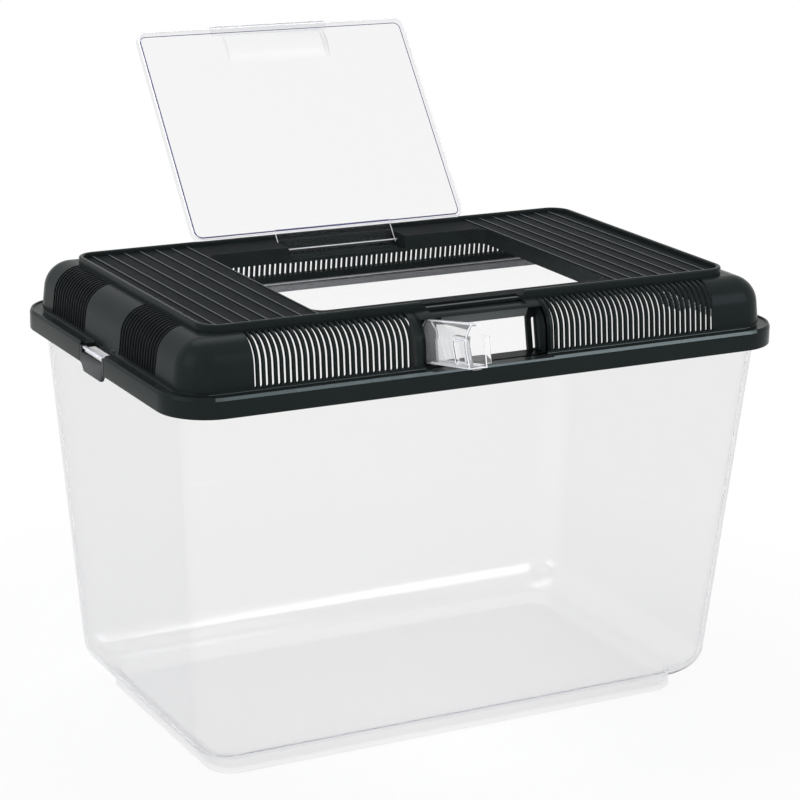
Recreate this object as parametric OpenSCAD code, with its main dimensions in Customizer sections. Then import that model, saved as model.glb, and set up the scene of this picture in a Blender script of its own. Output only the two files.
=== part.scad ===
// Keeper for small animals: a clear tapered tub, a slotted lid that snaps onto it,
// a clear hinged door over the lid's opening and a small feeding door in the lid's front.
// The origin is at the middle of the base, +X to the right, the front faces -Y.

/* [Size] */
// Length of the lid over its skirt
case_l = 400; // [360:5:460]
// Width of the lid over its skirt
case_w = 250; // [236:2:300]
// Corner radius of the skirt
case_r = 29; // [27:1:36]
// Height of the skirt's lower edge above the base
lid_z = 229; // [120:1:320]

/* [Tub] */
// Wall of the tub
tub_wall = 2.4; // [1.6:0.1:3.2]
// Lean of the tub's walls
tub_taper = 4.27; // [1:0.01:6]
// Corner radius of the tub's walls
tub_corner_r = 19; // [14:1:26]
// Radius where the walls turn in under the tub
bottom_r = 22; // [12:1:28]
// Angle that this turn covers before it meets the plinth
bottom_turn = 74; // [50:1:80]
// Height of the plinth that the tub stands on
plinth_h = 9.5; // [5:0.5:16]
// Corner radius of the plinth
plinth_r = 15.7; // [10:0.1:20]
// Height of the tub's rim above the skirt's lower edge
rim_z = 8.5; // [6:0.5:9]
// Depth of the lip round the rim
lip_h = 6.6; // [4:0.2:7]
// Thickness of the lip
lip_t = 1.6; // [1.2:0.1:2.4]
// Reach of the rim outside the wall
rim_reach = 6; // [4:0.5:9]
// Length of the lug above each latch
lug_l = 30; // [20:1:36]
// Height of the lug above the rim
lug_h = 1.8; // [1.2:0.1:2.4]

/* [Lid] */
// Thickness of the skirt
skirt_t = 2.4; // [2:0.1:3]
// Height of the skirt's outer face
skirt_h = 10.3; // [9.6:0.1:11]
// Step between the outer face and the ridge inside it
groove_w = 0.9; // [0.6:0.1:1.2]
// Height of the ridge round the ledge
ridge_h = 12.1; // [11.9:0.1:13]
// Height of the ledge outside the dome
ledge_h = 11.4; // [11.2:0.1:11.8]
// Thickness of the ledge
ledge_t = 2.5; // [2:0.1:2.6]
// Distance from the skirt's face to the foot of the dome
dome_in = 8.2; // [6:0.2:9]
// Corner radius at the foot of the dome
dome_corner_r = 18.6; // [18.6:0.2:24]
// Lean of the dome's walls
dome_draft = 6; // [2:0.5:7]
// Radius of the dome's shoulder
shoulder_r = 17; // [12:0.5:17]
// Height of the dome's shoulder above the skirt's lower edge
dome_h = 40.8; // [38:0.2:44]
// Thickness of the dome and its panels
shell_t = 2.2; // [1.6:0.1:2.6]
// Distance from the skirt's face to the stacking rim
stack_in = 27; // [26.8:0.1:30]
// Corner radius of the stacking rim
stack_r = 13; // [8:0.5:18]
// Thickness of the stacking rim
stack_t = 2.8; // [2:0.1:3.6]
// Height of the stacking rim above the panels
stack_h = 2.85; // [1.5:0.05:4]
// Height of the panels above the dome's shoulder
panel_step = 1.6; // [0.8:0.1:2.4]
// Number of ridges on each panel
ridge_n = 7; // [3:1:7]
// Spacing of the ridges on the panels
ridge_pitch = 10.45; // [6:0.05:10.5]
// Radius of the ridges on the panels
ridge_r = 0.75; // [0.5:0.05:1]

/* [Air slots] */
// Width of a slot
slot_w = 1.6; // [1:0.1:2]
// Spacing of the slots
slot_pitch = 3.656; // [3.2:0.001:4.4]
// Number of slots along the back
slot_n = 83; // [41:2:83]
// Number of slots in each group on a short side
side_slot_n = 15; // [7:2:15]
// Place of the front group's middle on a short side
side_front_y = -47.3; // [-52:0.1:-46]
// Place of the rear group's middle on a short side
side_rear_y = 58.2; // [46:0.1:60]
// Height of the slots' lower ends above the skirt's lower edge
slot_z = 13; // [12.6:0.1:16]

/* [Top door] */
// Length of the lid's opening
opening_l = 194.2; // [140:0.2:195]
// Place of the opening's front edge
opening_front = -81.6; // [-82:0.1:-60]
// Place of the opening's rear edge
opening_rear = 69.6; // [50:0.1:69.6]
// Corner radius of the opening
opening_r = 8; // [5:0.5:12]
// Depth of the collar round the opening
collar_h = 9.4; // [8:0.1:12]
// Thickness of the collar
collar_t = 2; // [1.6:0.1:2.4]
// Gap between the door and its opening
door_gap = 1.6; // [0.8:0.1:2.4]
// Height of the door's skirt and plate together
door_h = 5.3; // [4.5:0.1:5.6]
// Thickness of the door's plate and skirt
door_t = 1.8; // [1.4:0.1:2.2]
// Angle that the door stands open
door_open = 128.3; // [100:0.1:128.3]
// Distance from the door's rear edge to its hinge
hinge_reach = 13.5; // [12:0.5:13.5]
// Width of the door's hinge tongue
tongue_w = 81.4; // [50:0.2:90]
// Radius of the hinge tongue's barrel
barrel_r = 2.2; // [1.8:0.1:2.2]
// Radius of the top door's hinge pins
door_pin_r = 1.5; // [1.2:0.1:1.6]
// Length of each hinge pin
door_pin_l = 1.8; // [1.2:0.1:1.9]
// Width of the finger tab on the door's front edge
tab_w = 82; // [50:1:90]
// Reach of the finger tab
tab_reach = 4.8; // [3:0.1:6]
// Width of the thumb dish in the door's plate
dish_w = 69; // [40:1:76]
// Length of the thumb dish
dish_l = 21; // [12:1:26]
// Depth of the thumb dish
dish_d = 3.4; // [2:0.1:3.4]
// Left end of the finger scoop in front of the door
scoop_x0 = -35; // [-40:0.5:-20]
// Right end of the finger scoop
scoop_x1 = 27.4; // [10:0.1:36]
// Place of the finger scoop's rear edge
scoop_y = -91.5; // [-93:0.5:-90]
// Height of the finger scoop's floor above the skirt's lower edge
scoop_z = 39.4; // [39:0.1:40]

/* [Feeding door] */
// Left end of the recess for the feeding door
recess_x0 = -44.2; // [-50:0.1:-42]
// Right end of the recess for the feeding door
recess_x1 = 35.3; // [34.5:0.1:50]
// Depth of the recess at its foot
recess_d = 11.3; // [11:0.1:12]
// Lean of the recess's rear wall and of the feeding door's hinge
recess_lean = 12; // [8:0.5:12.5]
// Height of the recess's ceiling above the skirt's lower edge
recess_top = 37.9; // [37:0.1:37.9]
// Left edge of the feeding window
window_x0 = -28; // [-30:0.5:-10]
// Right edge of the feeding window
window_x1 = 29; // [10:0.5:30]
// Height of the feeding window's upper edge above the skirt's lower edge
window_top = 32; // [24:0.5:33]
// Reach of the lintel over the feeding window
lintel_d = 3.1; // [1.5:0.1:3.4]
// Wall of the feeding door
feeder_wall = 1.6; // [1.2:0.1:2]
// Gap between the feeding door and the recess
feeder_gap = 0.6; // [0.5:0.1:0.7]
// Distance from the recess's left end to the feeding door's hinge
feeder_hinge_in = 8.3; // [8.3:0.1:9]
// Distance from the front of the dome to the feeding door's hinge
feeder_hinge_d = 5.6; // [5.4:0.1:5.8]
// Reach of the feeding door past its hinge
feeder_heel = 2; // [1.4:0.1:2]
// Height of the feeding door along its hinge
feeder_h = 24.8; // [20:0.1:24.8]
// Height of the feeding door's lower edge above the ledge, along its hinge
feeder_lift = 1.6; // [1.6:0.1:2.4]
// Width of the slot that takes the feeding door's catch
catch_slot_w = 2.4; // [2.2:0.1:2.6]
// Thickness of the feeding door's catch
feeder_catch_t = 1.1; // [0.8:0.1:1.2]
// Reach of that catch behind the feeding door
feeder_catch_l = 2.6; // [1.6:0.1:2.8]
// Height of that catch
feeder_catch_h = 15; // [8:0.5:16]
// Drop of the foot under the feeding door's free end
feeder_foot = 0.7; // [0.4:0.1:0.9]
// Length of the finger dip in the feeding door's face
dip_l = 16; // [8:0.5:24]
// Height of the finger dip
dip_h = 13; // [8:0.5:14]
// Depth of the finger dip
dip_d = 2.4; // [1.2:0.1:3]
// Angle that the feeding door stands open
feeder_open = 98; // [60:1:100]
// Radius of the feeding door's hinge pins
feeder_pin_r = 1; // [0.8:0.1:1]

/* [Latches] */
// Width of a side latch
latch_w = 36.8; // [34:0.2:44]
// Width of a latch's free edge
latch_tip_w = 26; // [18:1:30]
// Drop of a latch below the skirt
latch_drop = 4.5; // [3:0.5:7]
// Thickness of a latch
latch_t = 2.2; // [1.8:0.1:2.2]
// Radius of a latch's pins
latch_pin_r = 0.8; // [0.6:0.05:0.8]
// Length of a latch's pins
latch_pin_l = 1.8; // [1.2:0.1:2.4]
// Reach of a latch's catch under the lip
catch_reach = 1.2; // [0.8:0.1:1.3]

/* [Fits] */
// Gap between faces that only lie next to each other
rest_gap = 0.3; // [0.2:0.05:0.4]
// Gap between the tub's rim and the skirt
rim_gap = 0.8; // [0.5:0.1:1]
// Radial play of the hinge pins
pin_play = 0.06; // [0.03:0.01:0.1]

/* [Hidden] */
$fn = 64;
cut = 1;
eps = 0.01;

// tub
tub_h = lid_z + rim_z;
rim_out = skirt_t + rim_gap;
wall_in = rim_out + rim_reach;
turn_z = plinth_h + bottom_r * sin(bottom_turn);
turn_in = wall_in + (tub_h - turn_z + bottom_r * sin(tub_taper)) * tan(tub_taper)
    + bottom_r * cos(tub_taper);
plinth_in = turn_in - bottom_r * cos(bottom_turn);
edge_round = 0.6;
corner_steps = 8;
turn_steps = 7;
lug_root = 1;
lug_in = wall_in - lug_root;
lug_drop = 1.5;

// lid, with heights above the base
centre_h = dome_h - shoulder_r;
shoulder_in = (centre_h + shoulder_r * sin(dome_draft) - ledge_h) * tan(dome_draft)
    + shoulder_r * cos(dome_draft);
flat_in = min(shoulder_in, dome_corner_r - eps);
dome_l = case_l - 2 * dome_in;
dome_w = case_w - 2 * dome_in;
panel_z = lid_z + dome_h + panel_step;
stack_l = case_l - 2 * stack_in;
stack_w = case_w - 2 * stack_in;
opening_w = opening_rear - opening_front;
opening_y = (opening_rear + opening_front) / 2;
slot_end = stack_in - 1.2;
scoop_flare = 4;
ridge_margin = 0.8;

// top door
door_l = opening_l - 2 * door_gap;
door_w = opening_w - 2 * door_gap;
door_r = opening_r - door_gap;
hinge_y = opening_rear - door_gap + hinge_reach;
hinge_z = panel_z - door_h;
swing_room = 6.8;
tongue_under = 0.8;
tongue_over = 1.3;
dish_margin = 1;
notch_w = tongue_w + 2 * rest_gap;
notch_y = hinge_y + swing_room;
notch_z = hinge_z - barrel_r - rest_gap;
notch_wall = 2.4;

// feeding door
recess_y = -dome_w / 2 + recess_d;
feeder_x = recess_x0 + feeder_hinge_in;
feeder_y = -dome_w / 2 + feeder_hinge_d;
feeder_x1 = recess_x1 - 2 * feeder_gap;
feeder_back = (recess_d - feeder_hinge_d) * cos(recess_lean) - feeder_gap;
lintel_run = 1.3;
lintel_cover = 4;
feeder_bevel = 2.4;
feeder_pin_out = 3;
feeder_pin_up = 1.2;
catch_slot_in = 0.5;
catch_slot_under = 0.5;
catch_slot_drop = 2;
feeder_catch_z = 2.2;
foot_front = 3.5;
foot_back = 1.5;
dip_z = 3.4;
dip_in = 2.6;

// latches
latch_x = case_l / 2 - skirt_t / 2;
latch_pin_in = 1.4;
latch_z = lid_z + skirt_h - latch_pin_in;
latch_back = 0.6;
latch_bevel = 3.4;
latch_sag = 0.4;
catch_gap = 0.4;
catch_h = 2.6;
catch_in = 1;
window_w = lug_l + 2 * rest_gap;

// ---------- shared shapes ----------

// A flat rounded rectangle
module rounded(l, w, r) {
    square([l - 2 * r, w], center = true);
    square([l, w - 2 * r], center = true);
    for (sx = [-1, 1], sy = [-1, 1])
        translate([sx * (l / 2 - r), sy * (w / 2 - r)])
            circle(r);
}

module plate(l, w, r, h) {
    linear_extrude(h)
        rounded(l, w, r);
}

module frame(l, w, r, t, h) {
    linear_extrude(h)
        difference() {
            rounded(l, w, r);
            rounded(l - 2 * t, w - 2 * t, r - t);
        }
}

// A bar from x0 to x1 whose end shape is drawn with y across and z up
module bar(x0, x1) {
    translate([x0, 0, 0])
        rotate([90, 0, 90])
            linear_extrude(x1 - x0)
                children();
}

// A block given by its ends
module block(x0, x1, y0, y1, z0, z1) {
    translate([x0, y0, z0])
        cube([x1 - x0, y1 - y0, z1 - z0]);
}

// Carries a profile round a rounded rectangle. In the profile, x runs inwards
// from the outline and y runs up.
module sweep(l, w, r) {
    for (turn = [0, 180]) {
        rotate(turn)
            translate([0, -w / 2, 0])
                bar(-(l / 2 - r), l / 2 - r)
                    children();
        rotate(turn + 90)
            translate([0, -l / 2, 0])
                bar(-(w / 2 - r), w / 2 - r)
                    children();
    }
    for (quarter = [0:3])
        translate([
            (quarter == 0 || quarter == 3 ? 1 : -1) * (l / 2 - r),
            (quarter < 2 ? 1 : -1) * (w / 2 - r),
            0
        ])
            rotate(90 * quarter)
                rotate_extrude(angle = 90)
                    intersection() {
                        translate([r, 0])
                            mirror([1, 0])
                                children();
                        square([r + cut, lid_z]);
                    }
}

// ---------- tub ----------

// Points round the tub at one height; inset is the distance in from the skirt's face
function ring(inset, r, z) = [
    for (quarter = [0:3], step = [0:corner_steps])
        let (
            angle = 90 * (quarter + step / corner_steps),
            side_x = quarter == 0 || quarter == 3 ? 1 : -1,
            side_y = quarter < 2 ? 1 : -1
        )
        [
            side_x * (case_l / 2 - inset - r) + r * cos(angle),
            side_y * (case_w / 2 - inset - r) + r * sin(angle),
            z
        ]
];

function wall_at(z) = wall_in + (tub_h - z) * tan(tub_taper);

// Rings up the turn at the foot of the walls, on the outside or, with a skin, on the inside
function turn_rings(skin) =
    let (lowest = acos((turn_in - plinth_in - skin) / (bottom_r - skin)))
    [
        for (step = [0:turn_steps])
            let (
                share = step / turn_steps,
                angle = lowest + (tub_taper - lowest) * share,
                r = plinth_r + (tub_corner_r - plinth_r) * share
            )
            ring(turn_in - (bottom_r - skin) * cos(angle), r - skin,
                turn_z - (bottom_r - skin) * sin(angle))
    ];

module tub_shell() {
    inside_turn = turn_rings(tub_wall);
    under_z = tub_h - tub_wall;
    rim_r = tub_corner_r + rim_reach;
    rings = concat(
        [
            ring(plinth_in + edge_round, plinth_r - edge_round, 0),
            ring(plinth_in, plinth_r, edge_round)
        ],
        turn_rings(0),
        [
            ring(wall_at(under_z), tub_corner_r, under_z),
            ring(rim_out + lip_t, rim_r - lip_t, under_z),
            ring(rim_out + lip_t, rim_r - lip_t, tub_h - lip_h),
            ring(rim_out, rim_r, tub_h - lip_h),
            ring(rim_out, rim_r, tub_h - edge_round),
            ring(rim_out + edge_round, rim_r - edge_round, tub_h),
            ring(wall_in + tub_wall - edge_round, tub_corner_r - tub_wall + edge_round, tub_h),
            ring(wall_in + tub_wall, tub_corner_r - tub_wall, tub_h - edge_round)
        ],
        [for (step = [turn_steps:-1:0]) inside_turn[step]],
        [ring(plinth_in + tub_wall, plinth_r - tub_wall, tub_wall)]
    );
    around = 4 * (corner_steps + 1);
    last = (len(rings) - 1) * around;
    sides = [
        for (level = [0:len(rings) - 2], i = [0:around - 1])
            let (a = level * around + i, b = level * around + (i + 1) % around)
            [a, a + around, b + around, b]
    ];
    base = [for (i = [0:around - 1]) i];
    floor = [for (i = [around - 1:-1:0]) last + i];
    polyhedron([for (level = rings) each level], concat(sides, [base, floor]));
}

// The block on the rim that shows in the window above each latch
module lug() {
    block(case_l / 2 - lug_in, case_l / 2 - rest_gap, -lug_l / 2, lug_l / 2,
        tub_h - lug_drop, tub_h + lug_h);
}

module tub() {
    color([0.86, 0.88, 0.9, 0.4]) {
        tub_shell();
        for (turn = [0, 180])
            rotate(turn)
                lug();
    }
}

// ---------- lid ----------

// Skirt, ridge and ledge
module border_profile() {
    square([skirt_t, skirt_h]);
    translate([groove_w, 0])
        square([skirt_t - groove_w, ridge_h]);
    translate([groove_w, ledge_h - ledge_t])
        square([dome_in + shell_t - groove_w, ledge_t]);
}

// Everything inside the dome's surface, seen from the end; a skin moves the surface in
module dome_profile(skin) {
    r = shoulder_r - skin;
    bend = [shoulder_in - r * cos(dome_draft), centre_h + r * sin(dome_draft)];
    foot = bend[0] - (bend[1] - ledge_h) * tan(dome_draft);
    polygon([[foot, ledge_h], bend, [shoulder_in, centre_h + r], [shoulder_in, ledge_h]]);
    intersection() {
        translate([shoulder_in, centre_h])
            circle(r);
        translate([0, centre_h])
            square([shoulder_in, shoulder_r]);
    }
}

module dome_wall() {
    sweep(dome_l, dome_w, dome_corner_r)
        difference() {
            dome_profile(0);
            dome_profile(shell_t);
        }
}

// The flat top, the panels with their ridges, and the stacking rim
module dome_top() {
    translate([0, 0, dome_h - shell_t])
        plate(dome_l - 2 * flat_in, dome_w - 2 * flat_in, dome_corner_r - flat_in, shell_t);
    translate([0, 0, dome_h - eps])
        plate(stack_l, stack_w, stack_r, panel_step + eps);
    translate([0, 0, dome_h])
        frame(stack_l, stack_w, stack_r, stack_t, panel_step + stack_h);
    panel_ridges();
}

module panel_ridges() {
    first = opening_l / 2 + ridge_r + ridge_margin;
    reach = stack_w / 2 - stack_t;
    last = stack_l / 2 - stack_t - ridge_r;
    for (side = [-1, 1], i = [0:ridge_n - 1])
        if (first + i * ridge_pitch < last)
            translate([side * (first + i * ridge_pitch), reach, dome_h + panel_step])
                rotate([90, 0, 0])
                    cylinder(h = 2 * reach, r = ridge_r, $fn = 16);
}

module opening() {
    translate([0, opening_y, -cut])
        plate(opening_l, opening_w, opening_r, dome_h + stack_h + 2 * cut);
}

// The collar under the opening's edge and the step that the door's rear edge lies over
module collar() {
    top = dome_h + panel_step;
    translate([0, opening_y, top - collar_h])
        frame(opening_l + 2 * collar_t, opening_w + 2 * collar_t, opening_r + collar_t,
            collar_t, collar_h - eps);
}

// The trough behind the opening that carries the top door's hinge
module hinge_block() {
    block(-notch_w / 2 - notch_wall, notch_w / 2 + notch_wall,
        opening_rear + eps, notch_y + shell_t, notch_z - lid_z - shell_t, dome_h + panel_step - eps);
}

module hinge_cut() {
    block(-notch_w / 2, notch_w / 2, opening_rear - cut, notch_y, notch_z - lid_z, dome_h + stack_h + cut);
    translate([-notch_w / 2 - notch_wall - cut, hinge_y, hinge_z - lid_z])
        rotate([0, 90, 0])
            cylinder(h = notch_w + 2 * (notch_wall + cut), r = door_pin_r + pin_play);
}

// Slots along one wall, given the places of their middles; they keep to its straight part
module slots(places, side, straight) {
    for (x = places)
        if (abs(x) + slot_w / 2 < straight)
            block(x - slot_w / 2, x + slot_w / 2, -side / 2 - cut, -side / 2 + slot_end,
                slot_z, dome_h + cut);
}

module air_slots() {
    row = [for (i = [0:slot_n - 1]) (i - (slot_n - 1) / 2) * slot_pitch];
    bunch = [for (i = [0:side_slot_n - 1]) (i - (side_slot_n - 1) / 2) * slot_pitch];
    margin = slot_pitch + slot_w / 2;
    long = dome_l / 2 - dome_corner_r;
    short = dome_w / 2 - dome_corner_r;
    slots([for (x = row) if (x < recess_x0 - margin || x > recess_x1 + margin) x], case_w, long);
    rotate(180)
        slots(row, case_w, long);
    for (middle = [side_front_y, side_rear_y]) {
        rotate(90)
            slots([for (y = bunch) y + middle], case_l, short);
        rotate(-90)
            slots([for (y = bunch) -y - middle], case_l, short);
    }
}

// The recess's outline from the end, with the lintel over its window
module recess_profile(grow) {
    rise = window_top - ledge_h;
    rear = recess_d + grow;
    polygon([
        [-grow - cut, ledge_h - (grow > 0 ? ledge_t : 0)],
        [rear, ledge_h - (grow > 0 ? ledge_t : 0)],
        [rear, ledge_h],
        [rear + rise * tan(recess_lean), window_top],
        [rear + (recess_top - ledge_h) * tan(recess_lean), recess_top + grow],
        [-grow - cut, recess_top + grow]
    ]);
}

module recess_block() {
    translate([0, -dome_w / 2, 0])
        bar(recess_x0 - shell_t, recess_x1 + shell_t)
            intersection() {
                recess_profile(shell_t);
                union() {
                    dome_profile(0);
                    translate([shoulder_in - eps, ledge_h - ledge_t])
                        square([dome_w / 2, dome_h - ledge_h + ledge_t]);
                    translate([0, ledge_h - ledge_t])
                        square([recess_d + shell_t, ledge_t]);
                }
            }
}

module recess_cut() {
    difference() {
        translate([0, -dome_w / 2, 0])
            bar(recess_x0, recess_x1)
                recess_profile(0);
        lintel();
    }
}

// The sloping face over the feeding window
module lintel() {
    rise = window_top - ledge_h;
    wall_x = recess_d + rise * tan(recess_lean);
    top_x = recess_d + (recess_top - ledge_h) * tan(recess_lean) - lintel_d - lintel_run;
    translate([0, -dome_w / 2, 0])
        bar(window_x0, window_x1)
            polygon([
                [wall_x, window_top],
                [wall_x + lintel_cover, window_top],
                [wall_x + lintel_cover, recess_top + cut],
                [top_x, recess_top + cut],
                [top_x, recess_top]
            ]);
}

module feeding_window() {
    block(window_x0, window_x1, recess_y - cut, recess_y + recess_d, ledge_h, window_top);
    x = recess_x1 - catch_slot_in;
    block(x - catch_slot_w, x, recess_y - cut, recess_y + recess_d,
        ledge_h + catch_slot_under, window_top - catch_slot_drop);
}

module scoop_block() {
    block(scoop_x0 - shell_t, scoop_x1 + shell_t, recess_y + lintel_cover, scoop_y + shell_t,
        scoop_z - shell_t, dome_h + eps);
}

// The finger scoop, which opens the stacking rim in front of the door's tab
module scoop_cut() {
    rim_top = dome_h + panel_step + stack_h + cut;
    block(scoop_x0, scoop_x1, -case_w / 2, scoop_y, scoop_z, rim_top);
    translate([0, scoop_y, 0])
        rotate([90, 0, 0])
            linear_extrude(case_w / 2)
                polygon([
                    [scoop_x0, dome_h + panel_step],
                    [scoop_x1, dome_h + panel_step],
                    [scoop_x1 + scoop_flare, rim_top],
                    [scoop_x0 - scoop_flare, rim_top]
                ]);
}

// Room for a latch in the skirt, and for the tub's lug above it
module latch_cut() {
    block(case_l / 2 - skirt_t - latch_back, case_l / 2 + cut,
        -latch_w / 2 - rest_gap, latch_w / 2 + rest_gap, -cut, ridge_h + cut);
    block(case_l / 2 - lug_in - rest_gap, case_l / 2 + cut,
        -window_w / 2, window_w / 2, -cut, ridge_h + cut);
    translate([latch_x, latch_w / 2 + latch_pin_l + 2 * rest_gap, latch_z - lid_z])
        rotate([90, 0, 0])
            cylinder(h = latch_w + 2 * latch_pin_l + 4 * rest_gap, r = latch_pin_r + pin_play);
}

module lid() {
    color([0.1, 0.1, 0.11])
        translate([0, 0, lid_z])
            difference() {
                union() {
                    sweep(case_l, case_w, case_r)
                        border_profile();
                    difference() {
                        dome_wall();
                        air_slots();
                    }
                    dome_top();
                    collar();
                    hinge_block();
                    recess_block();
                    scoop_block();
                }
                opening();
                hinge_cut();
                recess_cut();
                feeding_window();
                scoop_cut();
                feeder_pin_holes();
                for (turn = [0, 180])
                    rotate(turn)
                        latch_cut();
            }
}

// ---------- top door ----------

module top_door_shut() {
    middle = opening_y;
    front = opening_front + door_gap;
    rear = opening_rear - door_gap;
    difference() {
        union() {
            translate([0, middle, panel_z - door_t])
                plate(door_l, door_w, door_r, door_t);
            translate([0, middle, hinge_z])
                frame(door_l, door_w, door_r, door_t, door_h);
            dish(door_t);
        }
        dish(0);
    }
    bar(-tab_w / 2, tab_w / 2)
        polygon([
            [front, panel_z - door_t],
            [front, panel_z + rest_gap],
            [front - tab_reach, panel_z + rest_gap],
            [front - tab_reach, panel_z + rest_gap + door_t],
            [front + door_t, panel_z + rest_gap + door_t],
            [front + door_t + dish_margin, panel_z - door_t]
        ]);
    block(-tongue_w / 2, tongue_w / 2, rear - door_t, hinge_y,
        hinge_z - tongue_under, hinge_z + tongue_over);
    translate([-tongue_w / 2, hinge_y, hinge_z])
        rotate([0, 90, 0])
            cylinder(h = tongue_w, r = barrel_r);
    translate([-tongue_w / 2 - door_pin_l, hinge_y, hinge_z])
        rotate([0, 90, 0])
            cylinder(h = tongue_w + 2 * door_pin_l, r = door_pin_r);
}

// The hollow for a thumb behind the tab; a skin gives the same shape with its wall
module dish(skin) {
    r = (dish_l * dish_l / 4 + dish_d * dish_d) / (2 * dish_d);
    y = opening_front + door_gap + door_t + dish_margin + dish_l / 2;
    intersection() {
        translate([-dish_w / 2 - skin, y, panel_z - dish_d + r])
            rotate([0, 90, 0])
                cylinder(h = dish_w + 2 * skin, r = r + skin);
        block(-dish_w, dish_w, y - dish_l / 2 - skin, y + dish_l / 2 + skin,
            panel_z - dish_d - skin, panel_z + (skin > 0 ? 0 : cut));
    }
}

module top_door() {
    color([0.9, 0.92, 0.94, 0.4])
        translate([0, hinge_y, hinge_z])
            rotate([-door_open, 0, 0])
                translate([0, -hinge_y, -hinge_z])
                    top_door_shut();
}

// ---------- feeding door ----------

// Places a shape drawn along the feeding door's hinge, which leans back from the ledge
module on_feeder_hinge(turn) {
    translate([feeder_x, feeder_y, ledge_h])
        rotate([-recess_lean, 0, 0])
            rotate(turn)
                children();
}

module feeder_pin_holes() {
    on_feeder_hinge(0)
        translate([0, 0, -ledge_t - cut])
            cylinder(h = feeder_h + feeder_lift + ledge_t + 2 * cut + feeder_pin_up,
                r = feeder_pin_r + pin_play);
}

// The door's end shape, drawn like the dome's; a skin moves every side in
module feeder_profile(skin) {
    intersection() {
        dome_profile(skin);
        translate([feeder_hinge_d, ledge_h])
            rotate(-recess_lean)
                polygon([
                    [-recess_d, feeder_lift + skin],
                    [feeder_back + (skin > 0 ? cut : 0), feeder_lift + skin],
                    [feeder_back + (skin > 0 ? cut : 0), feeder_h - lintel_d - feeder_bevel],
                    [feeder_back - lintel_d - lintel_run + (skin > 0 ? cut : 0),
                        feeder_lift + feeder_h - skin],
                    [-recess_d, feeder_lift + feeder_h - skin]
                ]);
    }
}

// The band of heights that the finger dip covers, grown by a wall
module dip_band(grow) {
    translate([0, ledge_h + feeder_lift + dip_z - grow])
        square([shoulder_r, dip_h + 2 * grow]);
}

// The finger dip near the free end, and with a wall the pan that lines it
module finger_dip(wall) {
    x1 = feeder_x1 - feeder_wall - dip_in;
    translate([0, -dome_w / 2, 0])
        bar(x1 - dip_l - wall, x1 + wall)
            intersection() {
                dip_band(wall);
                difference() {
                    if (wall > 0)
                        feeder_profile(0);
                    else
                        translate([-cut, 0])
                            square([shoulder_r + cut, dome_h]);
                    dome_profile(dip_d + wall);
                }
            }
}

module feeder_shell() {
    x0 = feeder_x - feeder_heel;
    difference() {
        translate([0, -dome_w / 2, 0])
            bar(x0, feeder_x1)
                feeder_profile(0);
        translate([0, -dome_w / 2, 0])
            bar(x0 + feeder_wall, feeder_x1 - feeder_wall)
                feeder_profile(feeder_wall);
    }
}

// The blade on the free end that goes into its slot when the door shuts, and the foot under it
module feeder_catch() {
    on_feeder_hinge(0) {
        block(feeder_x1 - feeder_x - feeder_catch_t, feeder_x1 - feeder_x,
            feeder_back - feeder_wall, feeder_back + feeder_catch_l,
            feeder_lift + feeder_catch_z, feeder_lift + feeder_catch_z + feeder_catch_h);
        block(feeder_x1 - feeder_x - feeder_wall, feeder_x1 - feeder_x, -foot_front, foot_back,
            feeder_lift - feeder_foot, feeder_lift + feeder_wall);
    }
}

module feeding_door_shut() {
    difference() {
        union() {
            feeder_shell();
            finger_dip(feeder_wall);
        }
        finger_dip(0);
    }
    feeder_catch();
    on_feeder_hinge(0) {
        translate([0, 0, feeder_lift])
            cylinder(h = feeder_h, r = feeder_heel);
        translate([0, 0, feeder_lift - feeder_pin_out])
            cylinder(h = feeder_h + feeder_pin_out + feeder_pin_up, r = feeder_pin_r);
    }
}

module feeding_door() {
    color([0.9, 0.92, 0.94, 0.4])
        translate([0, 0, lid_z])
            on_feeder_hinge(-feeder_open)
                rotate([recess_lean, 0, 0])
                    translate([-feeder_x, -feeder_y, -ledge_h])
                        feeding_door_shut();
}

// ---------- latches ----------

module latch() {
    top = skirt_h;
    under_lug = rim_z - lug_drop - rest_gap;
    tip_z = -latch_drop;
    translate([case_l / 2, 0, lid_z])
        rotate([90, 0, -90])
            linear_extrude(latch_t)
                polygon([
                    [-latch_w / 2, top],
                    [-latch_w / 2, 0],
                    [-latch_tip_w / 2 - latch_bevel, -latch_sag],
                    [-latch_tip_w / 2, tip_z],
                    [latch_tip_w / 2, tip_z],
                    [latch_tip_w / 2 + latch_bevel, -latch_sag],
                    [latch_w / 2, 0],
                    [latch_w / 2, top],
                    [window_w / 2, top],
                    [window_w / 2, under_lug],
                    [-window_w / 2, under_lug],
                    [-window_w / 2, top]
                ]);
    catch_top = lid_z + rim_z - lip_h - catch_gap;
    rotate(90)
        bar(-latch_tip_w / 2 + catch_in, latch_tip_w / 2 - catch_in)
            polygon([
                [-case_l / 2 + latch_t / 2, catch_top],
                [-case_l / 2 + rim_out + catch_reach, catch_top],
                [-case_l / 2 + latch_t, catch_top - catch_h],
                [-case_l / 2 + latch_t / 2, catch_top - catch_h]
            ]);
    for (side = [0, 1])
        mirror([0, side, 0])
            translate([latch_x, latch_w / 2 + latch_pin_l, latch_z])
                rotate([90, 0, 0])
                    cylinder(h = (latch_w - window_w) / 2 + latch_pin_l, r = latch_pin_r);
}

module right_latch() {
    color([0.12, 0.12, 0.13])
        latch();
}

module left_latch() {
    color([0.12, 0.12, 0.13])
        rotate(180)
            latch();
}

tub();
lid();
top_door();
feeding_door();
left_latch();
right_latch();
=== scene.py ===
"""A clear keeper for small animals, with a black slotted lid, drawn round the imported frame."""
import math

import bmesh
import bpy
from mathutils import Matrix, Vector

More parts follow.
